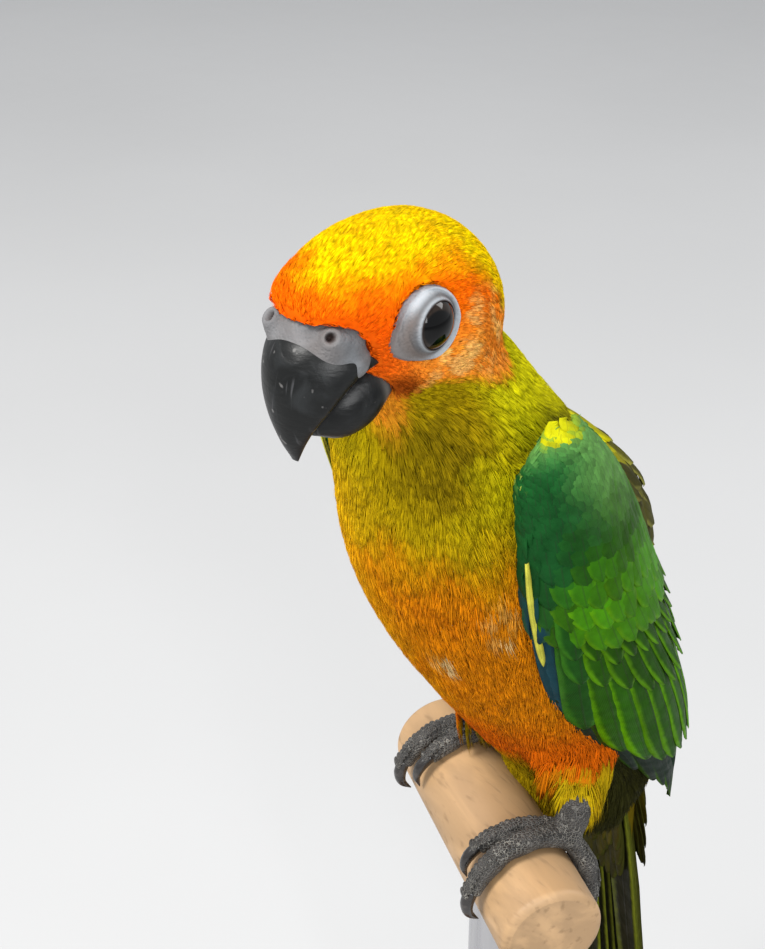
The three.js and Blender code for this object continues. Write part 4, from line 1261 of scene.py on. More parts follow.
class CONURE_OT_coat(bpy.types.Operator):
    """Covers head, neck and body with tufts of barbs, and the back with loose feathers"""

    bl_idname = "conure.coat"
    bl_label = "Coat"

    def execute(self, context):
        s, seed = sizes(), sizes().seed
        points, normals = skin_candidates(COAT_TRIALS, seed)
        keep = (ring_reach(points) > 1.0) & (points[:, 2] > COAT_BOTTOM)
        points, normals = points[keep], normals[keep]
        forward, left, up = from_head(points)
        on_head, low = ramp(up, -14, -7), 1 - ramp(points[:, 2], 70, 92)
        spacing = lerp(lerp(s.neck_spacing, s.body_spacing, low), s.head_spacing, on_head) / MM
        spacing = spacing * lerp(1, 0.8, 1 - ramp(np.hypot(forward - 15, up), 5, 16))
        kept = scatter(points, spacing, seed)
        points, normals = points[kept], normals[kept]
        keep = ~under_wing(points)
        points, normals = points[keep], normals[keep]
        feet = [tree_of(frame["nodes"][node].data) for node in ("foot_left", "foot_right")]
        bare = clearance(points, feet + made["bare"])
        points, normals = points[bare > ROOT_CLEARANCE], normals[bare > ROOT_CLEARANCE]

        forward, left, up = from_head(points)
        z = points[:, 2]
        back = points[:, 1] - np.interp(z, SPINE_Z, SPINE_Y)
        on_head, low = ramp(up, -14, -7), 1 - ramp(z, 70, 92)
        near_bill = (1 - ramp(np.hypot(forward - 15, up), 5, 15)) * on_head
        fluff = (1 - ramp(z, 8, 18)) * ramp(-back, 0, 5)
        trouser = (1 - ramp(z, 24, 32)) * ramp(np.abs(points[:, 0]), 9, 13) * ramp(-points[:, 1], -11, -6)
        rng = np.random.default_rng(seed + 1)
        length = lerp(lerp(s.neck_feather, s.body_feather, low), s.head_feather, on_head) / MM
        length = length * lerp(1, 0.6, near_bill) * lerp(0.5, 1, ramp(ring_reach(points), 1.0, 1.6))
        hanging = np.maximum(fluff * np.clip(z + 9, 4, 12.5), trouser * np.clip(z - 4, 6, 15))
        length = np.maximum(length, hanging) * (0.85 + 0.3 * rng.random(len(points)))
        height = lerp(lerp(1.1, 1.3, low), 0.62, on_head) * lerp(1, 0.75, near_bill) * (1 + fluff + trouser)
        rise = np.array([-0.35, 0.46, 0.7, 0.62])
        heights = height[:, None] * rise * (0.88 + 0.24 * rng.random((len(points), 1)))
        ways = lie(points, normals)
        loose = np.maximum(fluff, trouser)
        ways = unit(mix(ways, unit(np.array([0, -0.3, -1.0])), 0.85 * loose))
        ways = unit(ways - normals * ((1 - 0.8 * loose) * (ways * normals).sum(1))[:, None])
        swirl = (blotches(points, 9.0, 7.0) - 0.5) * 0.5 + rng.normal(0, 0.1, len(points))
        ways = unit(ways + np.cross(normals, ways) * swirl[:, None])
        spines, outs, across = feather_spines(points, normals, ways, length, heights)
        straight = ways[:, None] * (length[:, None] * STOPS)[..., None]
        free = points[:, None] + straight + outs * heights[..., None]
        spines = lerp(spines, free, (0.7 * loose)[:, None, None])
        tones = markings(points + ways * (length * 0.5)[:, None])
        vary = 1 + 0.12 * (blotches(points, 3.0, 11.0) - 0.5) + rng.normal(0, 0.025, len(points))
        tones = np.clip(tones * vary[:, None], 0, 1)
        width = lerp(lerp(2.3, 3.4, low), 1.35, on_head) * lerp(1, 0.75, near_bill)
        thick = lerp(lerp(0.25, 0.3, low), 0.2, on_head) * lerp(1, 0.85, near_bill)
        rear = (back > 6) & (z < 96) & (z > 4)
        face, throat = (up <= 11) & (up > -9) & ~rear, (up <= -9) & (z > 74) & ~rear
        groups = {
            "coat_crown": (up > 11) & ~rear,
            "coat_face": face & (left > -1),
            "coat_face_right": face & (left <= -1),
            "coat_throat": throat & (points[:, 0] > 0),
            "coat_throat_right": throat & (points[:, 0] <= 0),
            "coat_belly": (z <= 74) & (z > 36) & ~rear,
            "coat_vent": (z <= 36) & ~rear,
            "coat_back": rear,
        }
        finish = down_finish("body_feathers")
        for number, (name, chosen) in enumerate(groups.items()):
            head_piece = name.startswith(("coat_crown", "coat_face"))
            blades, rings = (9, 2) if head_piece else (12, 3)
            picked, most = np.flatnonzero(chosen), PIECE_FACES // ((6 * rings - 2) * blades)
            for part, start in enumerate(range(0, len(picked), most)):
                some = picked[start : start + most]
                tag = name if len(picked) <= most else f"{name}_{part + 1}"
                mesh = tuft_mesh(
                    tag, spines[some], outs[some], across[some], width[some], thick[some], blades, rings,
                    tones[some], seed + 20 + number + part, patch_places(unwrapped(points[some])),
                )
                slot = "plumage_yellow" if head_piece else "plumage_orange"
                add_piece(tag, mesh, finish, "plumage_olive" if "throat" in name else slot)
        self.mantle(seed)
        return {"FINISHED"}

    def mantle(self, seed):
        """Long loose feathers over the back, between the wings and down to the rump."""
        points, normals = skin_candidates(MANTLE_TRIALS, seed + 3)
        z = points[:, 2]
        back = points[:, 1] - np.interp(z, SPINE_Z, SPINE_Y)
        keep = (back > 5) & (z < 94) & (z > 0) & (np.abs(points[:, 0]) < 19)
        points, normals = points[keep], normals[keep]
        kept = scatter(points, np.full(len(points), 2.3), seed + 4)
        points, normals = points[kept], normals[kept]
        rng = np.random.default_rng(seed + 5)
        count = len(points)
        low = 1 - ramp(points[:, 2], 30, 50)
        length = lerp(13.5, 10, low) * (0.8 + 0.4 * rng.random(count))
        loose = rng.random(count) ** 2
        heights = [np.full(count, -0.4), 1.1 + 0.5 * loose, 1.5 + 0.8 * loose, 1.3 + 1.1 * loose]
        heights = np.stack(heights, -1)
        ways = lie(points, normals)
        ways = unit(ways + np.cross(normals, ways) * rng.normal(0, 0.14, (count, 1)))
        spines, outs, across = feather_spines(points, normals, ways, length, heights)
        top = ramp(points[:, 2] + rng.normal(0, 2, count), 87, 95)
        tones = mix(mix(colour("mantle"), colour("rump"), low), colour("nape") * 0.8, top)
        rims = mix(mix(colour("mantle_edge"), colour("rump") * 1.15, low), colour("nape"), top)
        vary = 1 + rng.normal(0, 0.14, (count, 1))
        width = lerp(4.6, 4.2, low) * (0.85 + 0.3 * rng.random(count))
        tones, rims = (np.clip(v * vary, 0, 1) for v in (tones, rims))
        uv = patch_places(unwrapped(points))
        mesh = body_vanes("coat_mantle", spines, outs, across, width, tones, rims, uv, rows=8)
        add_piece("coat_mantle", mesh, vane_finish("mantle_feathers", 0.55), "plumage_olive")


# Tiers of the wing: how many, start along it, roots and ends across it, width, depth, change of tone, bulge.
TIERS = {
    "secondaries": (10, 0.33, (0.14, 0.88), (0.035, 0.93), 7.4, (2.2, 0.8), 0.08, 0.86),
    "greater_coverts": (10, 0.33, (0.16, 0.88), (0.1, 0.94), 6.6, (1.4, 0.2), 0.08, 0.7),
    "median_coverts": (11, 0.3, (0.16, 0.9), (0.11, 0.95), 6.0, (0.9, -0.4), 0.1, 0.65),
    "primary_coverts": (5, 0.33, (0.0, 0.12), (-0.01, 0.08), 4.4, (2.6, 1.5), 0.2, 0.8),
    "primaries": (8, 0.34, (0.03, 0.6), (0.0, 0.66), 7.0, (2.7, 0.9), 0.5, 0.75),
}
# How far along the wing the tips of each tier lie, from the leading edge to the trailing one.
TIER_TIPS = {
    "median_coverts": (0.42, 0.43, 0.44, 0.445, 0.445, 0.45, 0.45, 0.45),
    "greater_coverts": (0.48, 0.495, 0.515, 0.53, 0.54, 0.545, 0.545, 0.545),
    "secondaries": (0.62, 0.7, 0.728, 0.728, 0.718, 0.715, 0.72, 0.725),
    "primaries": (0.74, 0.82, 0.875, 0.91, 0.935, 0.94),
    "primary_coverts": (0.64, 0.6, 0.58, 0.56),
}
ARM_LENGTH = 48


class CONURE_OT_wings(bpy.types.Operator):
    """Lays the coverts, secondaries and primaries on both folded wings"""

    bl_idname = "conure.wings"
    bl_label = "Wings"

    def execute(self, context):
        glossy = vane_finish("wing_feathers", 0.42)
        down = down_finish("wing_down")
        for word, side in SIDES:
            self.arm(word, side, glossy)
            for tier, feathers in self.tiers().items():
                mesh = sheet_vanes(f"{tier}_{word}", wing_across, feathers, mirror=side, seed=len(tier))
                nodes = (f"wing_{word}",) if tier == "secondaries" else ()
                add_piece(f"{tier}_{word}", mesh, glossy, "plumage_green", *nodes)

            def lining(share, angle, side=side):
                along, across = lerp(0.3, 0.84, share), 0.5 - lerp(0.43, 0.3, share) * np.cos(angle)
                return wing_point(along, across, 3.4 - 0.9 * np.sin(angle))[0] * [side, 1, 1]

            mesh = tube_mesh(f"wing_lining_{word}", lining, 36, 24)
            paint(mesh, "Tone", colour("primary") * 1.1)
            add_piece(f"wing_lining_{word}", mesh, down, "plumage_green")
        return {"FINISHED"}

    def arm(self, word, side, finish):
        """Scalloped coverts in staggered rows all over the arm, small at the shoulder and larger below."""
        rng = np.random.default_rng(sizes().seed + 9)
        turn = np.radians(np.linspace(-65, 245, 240))
        roots, row, share = [], 0, -0.03
        while share < 0.95:
            ring = arm_point(np.full(len(turn), share), turn)
            arc = np.append(0, np.cumsum(np.linalg.norm(np.diff(ring, axis=0), axis=1)))
            wide = lerp(2.4, 4.9, float(ramp(share, 0.15, 0.85)))
            places = np.arange((row % 2) / 2, arc[-1] / (0.62 * wide)) * 0.62 * wide
            angles = np.interp(places + rng.normal(0, 0.07 * wide, len(places)), arc, turn)
            roots += [(share + rng.normal(0, 0.003), a, wide) for a in angles]
            share += wide * lerp(0.42, 0.95, float(ramp(share, 0.4, 0.7))) / ARM_LENGTH
            row += 1
        share, angle, width = np.array(roots).T
        count = len(share)
        reach = width * lerp(2.0, 2.2, ramp(share, 0.4, 0.8)) * (0.92 + 0.16 * rng.random(count)) / ARM_LENGTH
        downs = [np.clip(share + reach * step, -0.035, 1.3) for step in STOPS]
        stops, beside = (np.stack([arm_point(down, angle + more) for down in downs], 1) for more in (0, 0.05))
        outs = unit(np.cross(np.gradient(stops, axis=1), beside - stops))
        across = unit(np.cross(outs, np.gradient(stops, axis=1)))
        big = ramp(share, 0.5, 0.7)
        heights = np.array([-0.35, 0.25, 0.4, 0.36]) + big[:, None] * np.array([-0.2, 0.1, 0.35, 0.4])
        spines = stops + outs * heights[..., None]
        face = np.degrees(angle)
        patch = blotches(stops[:, 3], 5.0) - 0.5
        front = 1 - ramp(face + 25 * patch + 40 * ramp(share, 0.5, 0.9), 45, 95)
        rear = ramp(face + 25 * patch, 105, 155)
        # The top of the arm is greyish green: the coverts' own green with a painted sheen.
        tones = mix(colour("covert"), colour("secondary") * 0.84, ramp(share + 0.15 * patch, 0.25, 0.6))
        tones = mix(tones, colour("covert_low"), np.clip(front * ramp(share, 0.0, 0.25) + 0.15 * big, 0, 1))
        bright = np.clip(rear * ramp(share, 0.1, 0.4) + big * (1 - front), 0, 1)
        tones = mix(tones, colour("covert_back"), bright * 0.9)
        blue = (1 - ramp(np.abs(face - 4), 18, 28)) * ramp(share, 0.7, 0.8)
        tones = mix(tones, colour("primary_covert"), blue)
        gap = np.hypot((share + reach * 0.6 - 0.03) / 0.09, (face - 62) / 40)
        yellow = 1 - ramp(gap + 0.9 * patch, 0.75, 1.1)
        fleck = (rng.random(count) < 0.16) * (1 - ramp(np.abs(face - 8), 6, 14)) * ramp(share, 0.1, 0.2)
        fleck = 0.6 * fleck * (1 - ramp(share, 0.4, 0.5))
        yellow = yellow * np.clip(0.45 + rng.random(count), 0, 1)
        edged = np.clip(big * (1 - front) + 0.25 * rear, 0, 1) * ramp(share, 0.3, 0.9)
        rims = mix(tones * 1.05, colour("green_edge"), edged)
        vary = 1 + rng.normal(0, 0.045, (count, 1)) * (1 + big[:, None])
        tones, rims = (mix(v, colour("shoulder"), yellow) for v in (tones, rims))
        tones, rims = (mix(v, colour("wing_strip"), fleck) * vary for v in (tones, rims))
        tones, rims = (np.clip(v, 0, 1) for v in (tones, rims))
        spines, outs, across = (v * np.array([side, 1, 1]) for v in (spines, outs, across))
        uv = patch_places(np.stack([(angle + 1.5) / 6.2, share / 1.3 + 0.05], -1))
        name, width = f"coverts_{word}", width * 1.05
        mesh = body_vanes(name, spines, outs, across, width, tones, rims, uv, 6, thick=0.13, camber=0.05)
        add_piece(name, mesh, finish, "plumage_green")

    def tiers(self):
        """The wing's long feathers, tier by tier."""
        rng = np.random.default_rng(sizes().seed + 11)
        green, edge, teal = colour("secondary"), colour("green_edge"), colour("covert_low")
        blue, black = colour("primary_covert"), colour("primary")
        tones = {
            "secondaries": (teal, green, edge),
            "greater_coverts": (teal, green * 0.95, edge * 0.95),
            "median_coverts": (teal, green * 0.9, edge * 0.9),
            "primary_coverts": (blue, blue, blue * 1.15),
            "primaries": (black, black, edge * 0.7),
        }
        tiers = {}
        for name, (count, start, roots, ends, width, depth, turn, bulge) in TIERS.items():
            first, tone, rim = tones[name]
            tips = np.array(TIER_TIPS[name])
            tiers[name] = []
            for v in np.linspace(0, 1, count):
                share = float(ramp(v, -turn, turn))
                sink = 1.6 * v if name == "primaries" else 0.0
                tip = np.interp(v, np.linspace(0, 1, len(tips)), tips) + rng.normal(0, 0.004)
                vary = 1 + rng.normal(0, 0.05)
                tiers[name].append(
                    {
                        "from": (start, lerp(*roots, v)),
                        "to": (min(1.0, tip), lerp(*ends, v) + rng.normal(0, 0.004)),
                        "width": width * (1 + rng.normal(0, 0.03)),
                        "narrow": 0.8 if name == "primaries" else 0.95,
                        "depth": (depth[0] + sink, depth[1] + sink),
                        "tilt": (0.2, 0.4), "tip": 0.3, "bulge": bulge, "camber": 0.3,
                        "tone": np.clip(lerp(first, tone, share) * vary, 0, 1),
                        "rim": np.clip(lerp(first * 1.2, rim, share) * vary, 0, 1),
                    }
                )
        strip = colour("wing_strip")
        tiers["primary_coverts"].append(
            {
                "from": (0.26, -0.01), "to": (0.45, -0.015), "width": 1.4, "depth": (1.2, 0.9),
                "tilt": (0.2, 0.2), "tip": 0.3, "camber": 0.3, "tone": strip, "rim": strip * 0.92,
            }
        )
        return tiers


# Lengths of the pairs of tail feathers, as shares of the longest.
TAIL_SHARES = (1.0, 0.96, 0.9, 0.82, 0.73, 0.63)


class CONURE_OT_tail(bpy.types.Operator):
    """Lays the long graduated tail feathers and their coverts"""

    bl_idname = "conure.tail"
    bl_label = "Tail"

    def execute(self, context):
        down = np.array([0.0, math.sin(TAIL_LEAN), -math.cos(TAIL_LEAN)])
        top = np.array([0.0, math.cos(TAIL_LEAN), math.sin(TAIL_LEAN)])

        def sheet(along, across, offset, depth):
            x = across + offset
            place = TAIL_ROOT + down * along[..., None] + LEFT * x[..., None]
            return place + top * (-depth - 0.014 * x**2)[..., None]

        tone, edge = colour("tail"), colour("tail_edge")
        feathers = []
        for pair, share in enumerate(TAIL_SHARES):
            for side in (1, -1):
                reach = TAIL_LENGTH * share
                root, tip = side * (1.2 + 0.85 * pair), side * (0.9 + 1.05 * pair)
                layer = pair * 0.95 + (0 if side > 0 else 0.45)
                feathers.append(
                    {
                        "from": (-4.0, root), "to": (reach - 1.0, tip),
                        "width": 9.4 - 0.25 * pair, "narrow": 0.82, "thick": 0.3,
                        "depth": (layer + 0.6, layer), "tilt": (-0.25 * side, -0.4 * side),
                        "tip": 0.1, "bulge": 0.55, "camber": 0.35,
                        "tone": tone * (1 - 0.05 * pair), "rim": lerp(tone, edge, 0.3 + 0.14 * pair),
                    }
                )
        mesh = sheet_vanes("tail_feathers", sheet, feathers, seed=8, rows=18)
        add_piece("tail_feathers", mesh, vane_finish("tail_vanes", 0.4), "plumage_tail", "tail")
        rng = np.random.default_rng(sizes().seed + 13)
        coverts = []
        for row in range(5):
            for i in range(7):
                x = (i - 3) * 1.9 + rng.normal(0, 0.2)
                for face in (1, -1):
                    reach = 34 - row * 6 + rng.normal(0, 1.2)
                    depth = -1.2 - 0.35 * row if face > 0 else 6.6 + 0.4 * row
                    low = colour("rump") if face > 0 else colour("vent_tip") * 0.6
                    coverts.append(
                        {
                            "from": (reach - 18, x * 0.9), "to": (reach, x), "width": 4.8, "thick": 0.2,
                            "depth": (depth + 1.2 * face, depth), "tilt": (0.1, 0.1),
                            "tip": 0.3, "bulge": 0.6, "camber": 0.45 * face,
                            "tone": lerp(low, tone, (0.8 - 0.16 * row)) * (1 + rng.normal(0, 0.07)),
                            "rim": lerp(tone, edge, 0.3),
                        }
                    )
        mesh = sheet_vanes("tail_coverts", sheet, coverts, seed=9, rows=8)
        add_piece("tail_coverts", mesh, vane_finish("tail_covert_vanes", 0.5), "plumage_tail")
        core = tube_mesh("tail_core", self.core(down, top), 24, 12)
        paint(core, "Tone", colour("vent_tip") * 0.5)
        add_piece("tail_core", core, down_finish("tail_down"), "plumage_tail")
        return {"FINISHED"}

    def core(self, down, top):
        """The soft stump that fills the tail's root."""
        def place(share, angle):
            half, thick = lerp(7.6, 4.6, share**1.5), lerp(4.8, 1.8, share)
            across, rise = (half * np.sin(angle))[..., None], (thick * np.cos(angle) - 2.6)[..., None]
            return TAIL_ROOT + down * (-3 + 34 * share)[..., None] + LEFT * across + top * rise

        return place


# The upper bill's ridge and cutting edge, forward and up in the head, its half widths, and the lower bill.
BILL_RIDGE = [(16, 4.6), (20.6, 5), (23.2, 2.2), (24.5, -2.6), (24.6, -7.2), (23.8, -11.2), (21.8, -15)]
BILL_CUT = [
    (11.8, -0.4), (14.5, -1.8), (16.8, -3.9), (19, -6.3), (20.5, -8.8), (20.9, -11.8), (21.5, -15.1),
]
BILL_HALF_WIDTHS = (9.2, 8.7, 7.7, 6.2, 4.3, 2.3, 0.6)
LOWER_TOP = [(9.2, 0.2, 0), (13.2, -1.6, 0), (16.8, -4.6, 0), (19.4, -8.0, 0)]
LOWER_KEEL = [(8.4, -8.6, 0), (11.2, -12, 0), (15, -13, 0), (18.9, -11.6, 0)]
LOWER_HALF_WIDTHS = (8.7, 8.2, 6.4, 2.8)


class CONURE_OT_bill(bpy.types.Operator):
    """Makes the two halves of the bill and the cere with its nostrils"""

    bl_idname = "conure.bill"
    bl_label = "Bill and cere"

    def execute(self, context):
        ridge, cut = (Run([(*place, i) for i, place in enumerate(line)]) for line in (BILL_RIDGE, BILL_CUT))
        wide = Run([(w, i * 3, 0) for i, w in enumerate(BILL_HALF_WIDTHS)])
        horn = bill_finish()
        mesh = tube_mesh("bill_upper_horn", self.half_place(ridge, cut, wide, 0.9, 1, 0.25), 72, 56)
        share, angle = (v.ravel() for v in tube_shares(72, 56))
        pale = bell(np.cos(angle), -0.72, 0.1) * ramp(share, 0.05, 0.2) * (1 - ramp(share, 0.75, 0.9))
        tint(mesh, 0.55 * pale)
        add_piece("bill_upper_horn", mesh, horn, "bill_horn", "bill_upper")
        made["bare"] = [tree_of(mesh)]

        top, keel = Run(LOWER_TOP), Run(LOWER_KEEL)
        wide = Run([(w, i * 3, 0) for i, w in enumerate(LOWER_HALF_WIDTHS)])
        mesh = tube_mesh("bill_lower_horn", self.half_place(top, keel, wide, 0.65, 0.98, 0), 56, 32)
        share = tube_shares(56, 32)[0].ravel()
        tint(mesh, 0.35 * bell(share, 0.1, 0.07))
        add_piece("bill_lower_horn", mesh, horn, "bill_horn", "bill_lower")
        made["bare"].append(tree_of(mesh))
        self.cere()
        return {"FINISHED"}

    def half_place(self, top, low, wide, power, fill, lean):
        """The wall of half the bill between two lines of its side view. A lean widens its underside."""
        def place(share, angle):
            t, k, w = top(share), low(share), wide(share)[..., 0]
            rise = 0.5 + 0.5 * np.cos(angle)
            bend = np.sign(np.sin(angle)) * np.abs(np.sin(angle)) ** power
            side = w * bend * fill * (1 - lean * np.cos(angle))
            return in_head(lerp(k[..., 0], t[..., 0], rise), side, lerp(k[..., 1], t[..., 1], rise))

        return place

    def cere(self):
        """A swelling over the bill's root, fuller round the sunk nostril on each side."""
        balls, lumps = [], [(16.4, 0.0, 4.0, (8.6, 6.7, 4.5))]
        for _, side in SIDES:
            lumps += [(18.0, 5.4 * side, 4.8, (2.8, 2.8, 2.8)), (15.8, 7.6 * side, 1.5, (1.9, 2.6, 1.8))]
        tilt = math.radians(46)
        for forward, left, up, (wide, long, high) in lumps:
            def ball(share, angle):
                polar = np.pi * np.clip(share, 0.004, 0.996)
                y, z = long * np.sin(polar) * np.sin(angle), high * np.cos(polar)
                y, z = y * math.cos(tilt) - z * math.sin(tilt), y * math.sin(tilt) + z * math.cos(tilt)
                return in_head(forward - y, left + wide * np.sin(polar) * np.cos(angle), up + z)

            balls.append(tube_mesh("lump", ball, 48, 32))
        mesh = relaxed(remeshed("cere_skin", joined("cere", balls), 0.00032), 8, 0.0)
        made["bare"].append(tree_of(mesh))
        points = points_of(mesh)
        painted_shade, middle = np.zeros(len(points)), in_head(14.0, 0.0, 2.0)
        for _, side in SIDES:
            hole = in_head(20.1, side * 6.1, 6.8)
            gap = np.linalg.norm(points - hole, axis=1)
            sink = 1.5 * (1 - ramp(gap, 0.3, 1.05)) - 0.3 * bell(gap, 1.55, 0.5)
            points = points + unit(middle - hole) * sink[:, None]
            # The sunk nostril holes are painted near black: painted shade in the holes.
            painted_shade = np.maximum(painted_shade, 1 - ramp(gap, 0.55, 1.05))
        mesh.vertices.foreach_set("co", ((points + SHIFT) * MM).astype(np.float32).ravel())
        mesh.update()
        tint(mesh, painted_shade, 0.25 * blotches(points, 2.0), 0.5 * blotches(points, 3.0, 4.0))
        add_piece("cere_skin", mesh, made["bare_skin"], "bare_skin", "cere")


class CONURE_OT_eyes(bpy.types.Operator):
    """Makes the wet eyes and the bare rings and lids round them"""

    bl_idname = "conure.eyes"
    bl_label = "Eyes"

    def execute(self, context):
        made["bare_skin"] = bare_skin_finish()
        for word, side in SIDES:
            self.ring(word, side)
            self.ball(word, side)
        return {"FINISHED"}

    def ring(self, word, side):
        """The bare ring: a lid close round the eyeball, then a slope down under the coat."""
        rows, columns = 24, 96
        share = np.linspace(0, 1, rows)[:, None]
        angle = np.linspace(0, 2 * np.pi, columns, endpoint=False)[None]
        reach = lerp(3.75, ring_outline(angle) + 0.5, share)
        f, u = EYE["forward"] + reach * np.cos(angle), EYE["up"] + reach * np.sin(angle)
        ball = EYE["side"] + np.sqrt(np.maximum(EYE["radius"] ** 2 - reach**2, 0))
        lid = bell(reach, 4.05, 0.2)
        wrinkle = 0.07 * np.sin(reach * 9 + 1.2 * np.sin(2 * angle)) * ramp(reach, 4.5, 5.0)
        out = lerp(ball + 0.1, head_side(f, u) - 0.2 - 0.9 * ramp(share, 0.15, 0.75), ramp(reach, 4.0, 5.2))
        out = np.maximum(out, ball + 0.12) + 0.2 * lid + wrinkle - 0.8 * ramp(share, 0.86, 1.0)
        points = np.concatenate([in_head(f, side * (out - sink), u).reshape(-1, 3) for sink in (0, 0.8)])
        outer = grid_faces(rows, columns, closed=True)
        inner = grid_faces(rows, columns, rows * columns, closed=True)[:, ::-1]
        edge = []
        for line in (np.arange(columns), np.arange(columns) + (rows - 1) * columns):
            after = np.roll(line, -1)
            edge.append(np.stack([line, after, after + rows * columns, line + rows * columns], -1))
        mesh = facing_out(mesh_from(f"eye_ring_{word}", points, np.concatenate([outer, inner, *edge])))
        # The lid's lip next to the eyeball is painted near black: painted shade in the crease between lid and
        # eyeball.
        painted_shade = 1 - ramp(reach, 3.8, 4.0)
        front = ramp(np.cos(angle + 0.4), 0.2, 0.95)
        pale = 0.5 * bell(reach, 4.1, 0.16) + 0.85 * ramp(share, 0.4, 0.8) * (1 - 0.85 * front)
        pink = 0.7 * front * ramp(share, 0.1, 0.5)
        tint(mesh, *(np.tile(v.ravel(), 2) for v in (painted_shade, np.clip(pale, 0, 1), pink)))
        add_piece(f"eye_ring_{word}", mesh, made["bare_skin"], "bare_skin", f"eyelid_{word}")

    def ball(self, word, side):
        """The eyeball, turned a little forward and up."""
        centre = in_head(EYE["forward"], side * EYE["side"], EYE["up"])
        out = unit(HEAD_LEFT * side + 0.24 * HEAD_FORWARD + 0.05 * UP)
        ahead = unit(np.cross(UP, out))
        rise = np.cross(out, ahead)

        def place(share, angle):
            polar = np.pi * np.clip(share, 0.003, 0.997)
            around = ahead * np.cos(angle)[..., None] + rise * np.sin(angle)[..., None]
            way = out * np.cos(polar)[..., None] + np.sin(polar)[..., None] * around
            return centre + EYE["radius"] * way

        mesh = tube_mesh(f"eye_ball_{word}", place, 48, 64)
        tint(mesh, np.sin(np.pi * tube_shares(48, 64)[0].ravel()))
        add_piece(f"eye_ball_{word}", mesh, eye_finish(word), "eye", f"eye_{word}")


PERCH_AXIS = np.array([math.cos(PERCH_YAW), -math.sin(PERCH_YAW), 0.0])
PERCH_FRONT = np.array([-math.sin(PERCH_YAW), -math.cos(PERCH_YAW), 0.0])
LEG_X, TOE_LIFT, PALM_TURN, CLAW_TURN = 16.5, PERCH_RADIUS + 2.4, -38.0, 34.0
SHANK_RADII = (1.8, 2.2, 3.3, 3.0)
# How a toe swells at its joints, as shares of its radius.
TOE_SWELL = (1.12, 1.0, 0.95, 1.08, 0.93, 1.05, 0.9, 0.72)
TOES = [
    {"name": "front_outer", "from": 1, "to": 3.2, "turn": 72, "radius": 2.1},
    {"name": "front_inner", "from": -1.2, "to": -2.8, "turn": 44, "radius": 1.9},
    {"name": "hind_outer", "from": 1.4, "to": 3.8, "turn": -122, "radius": 2},
    {"name": "hind_inner", "from": -1.4, "to": -3.6, "turn": -96, "radius": 1.8},
]


def round_perch(side, turn, reach):
    """A point at a distance from the perch's axis, a turn in degrees from its top."""
    turn = math.radians(turn)
    middle = PERCH_CENTRE + PERCH_AXIS * side
    return middle + PERCH_FRONT * reach * math.sin(turn) + UP * reach * math.cos(turn)


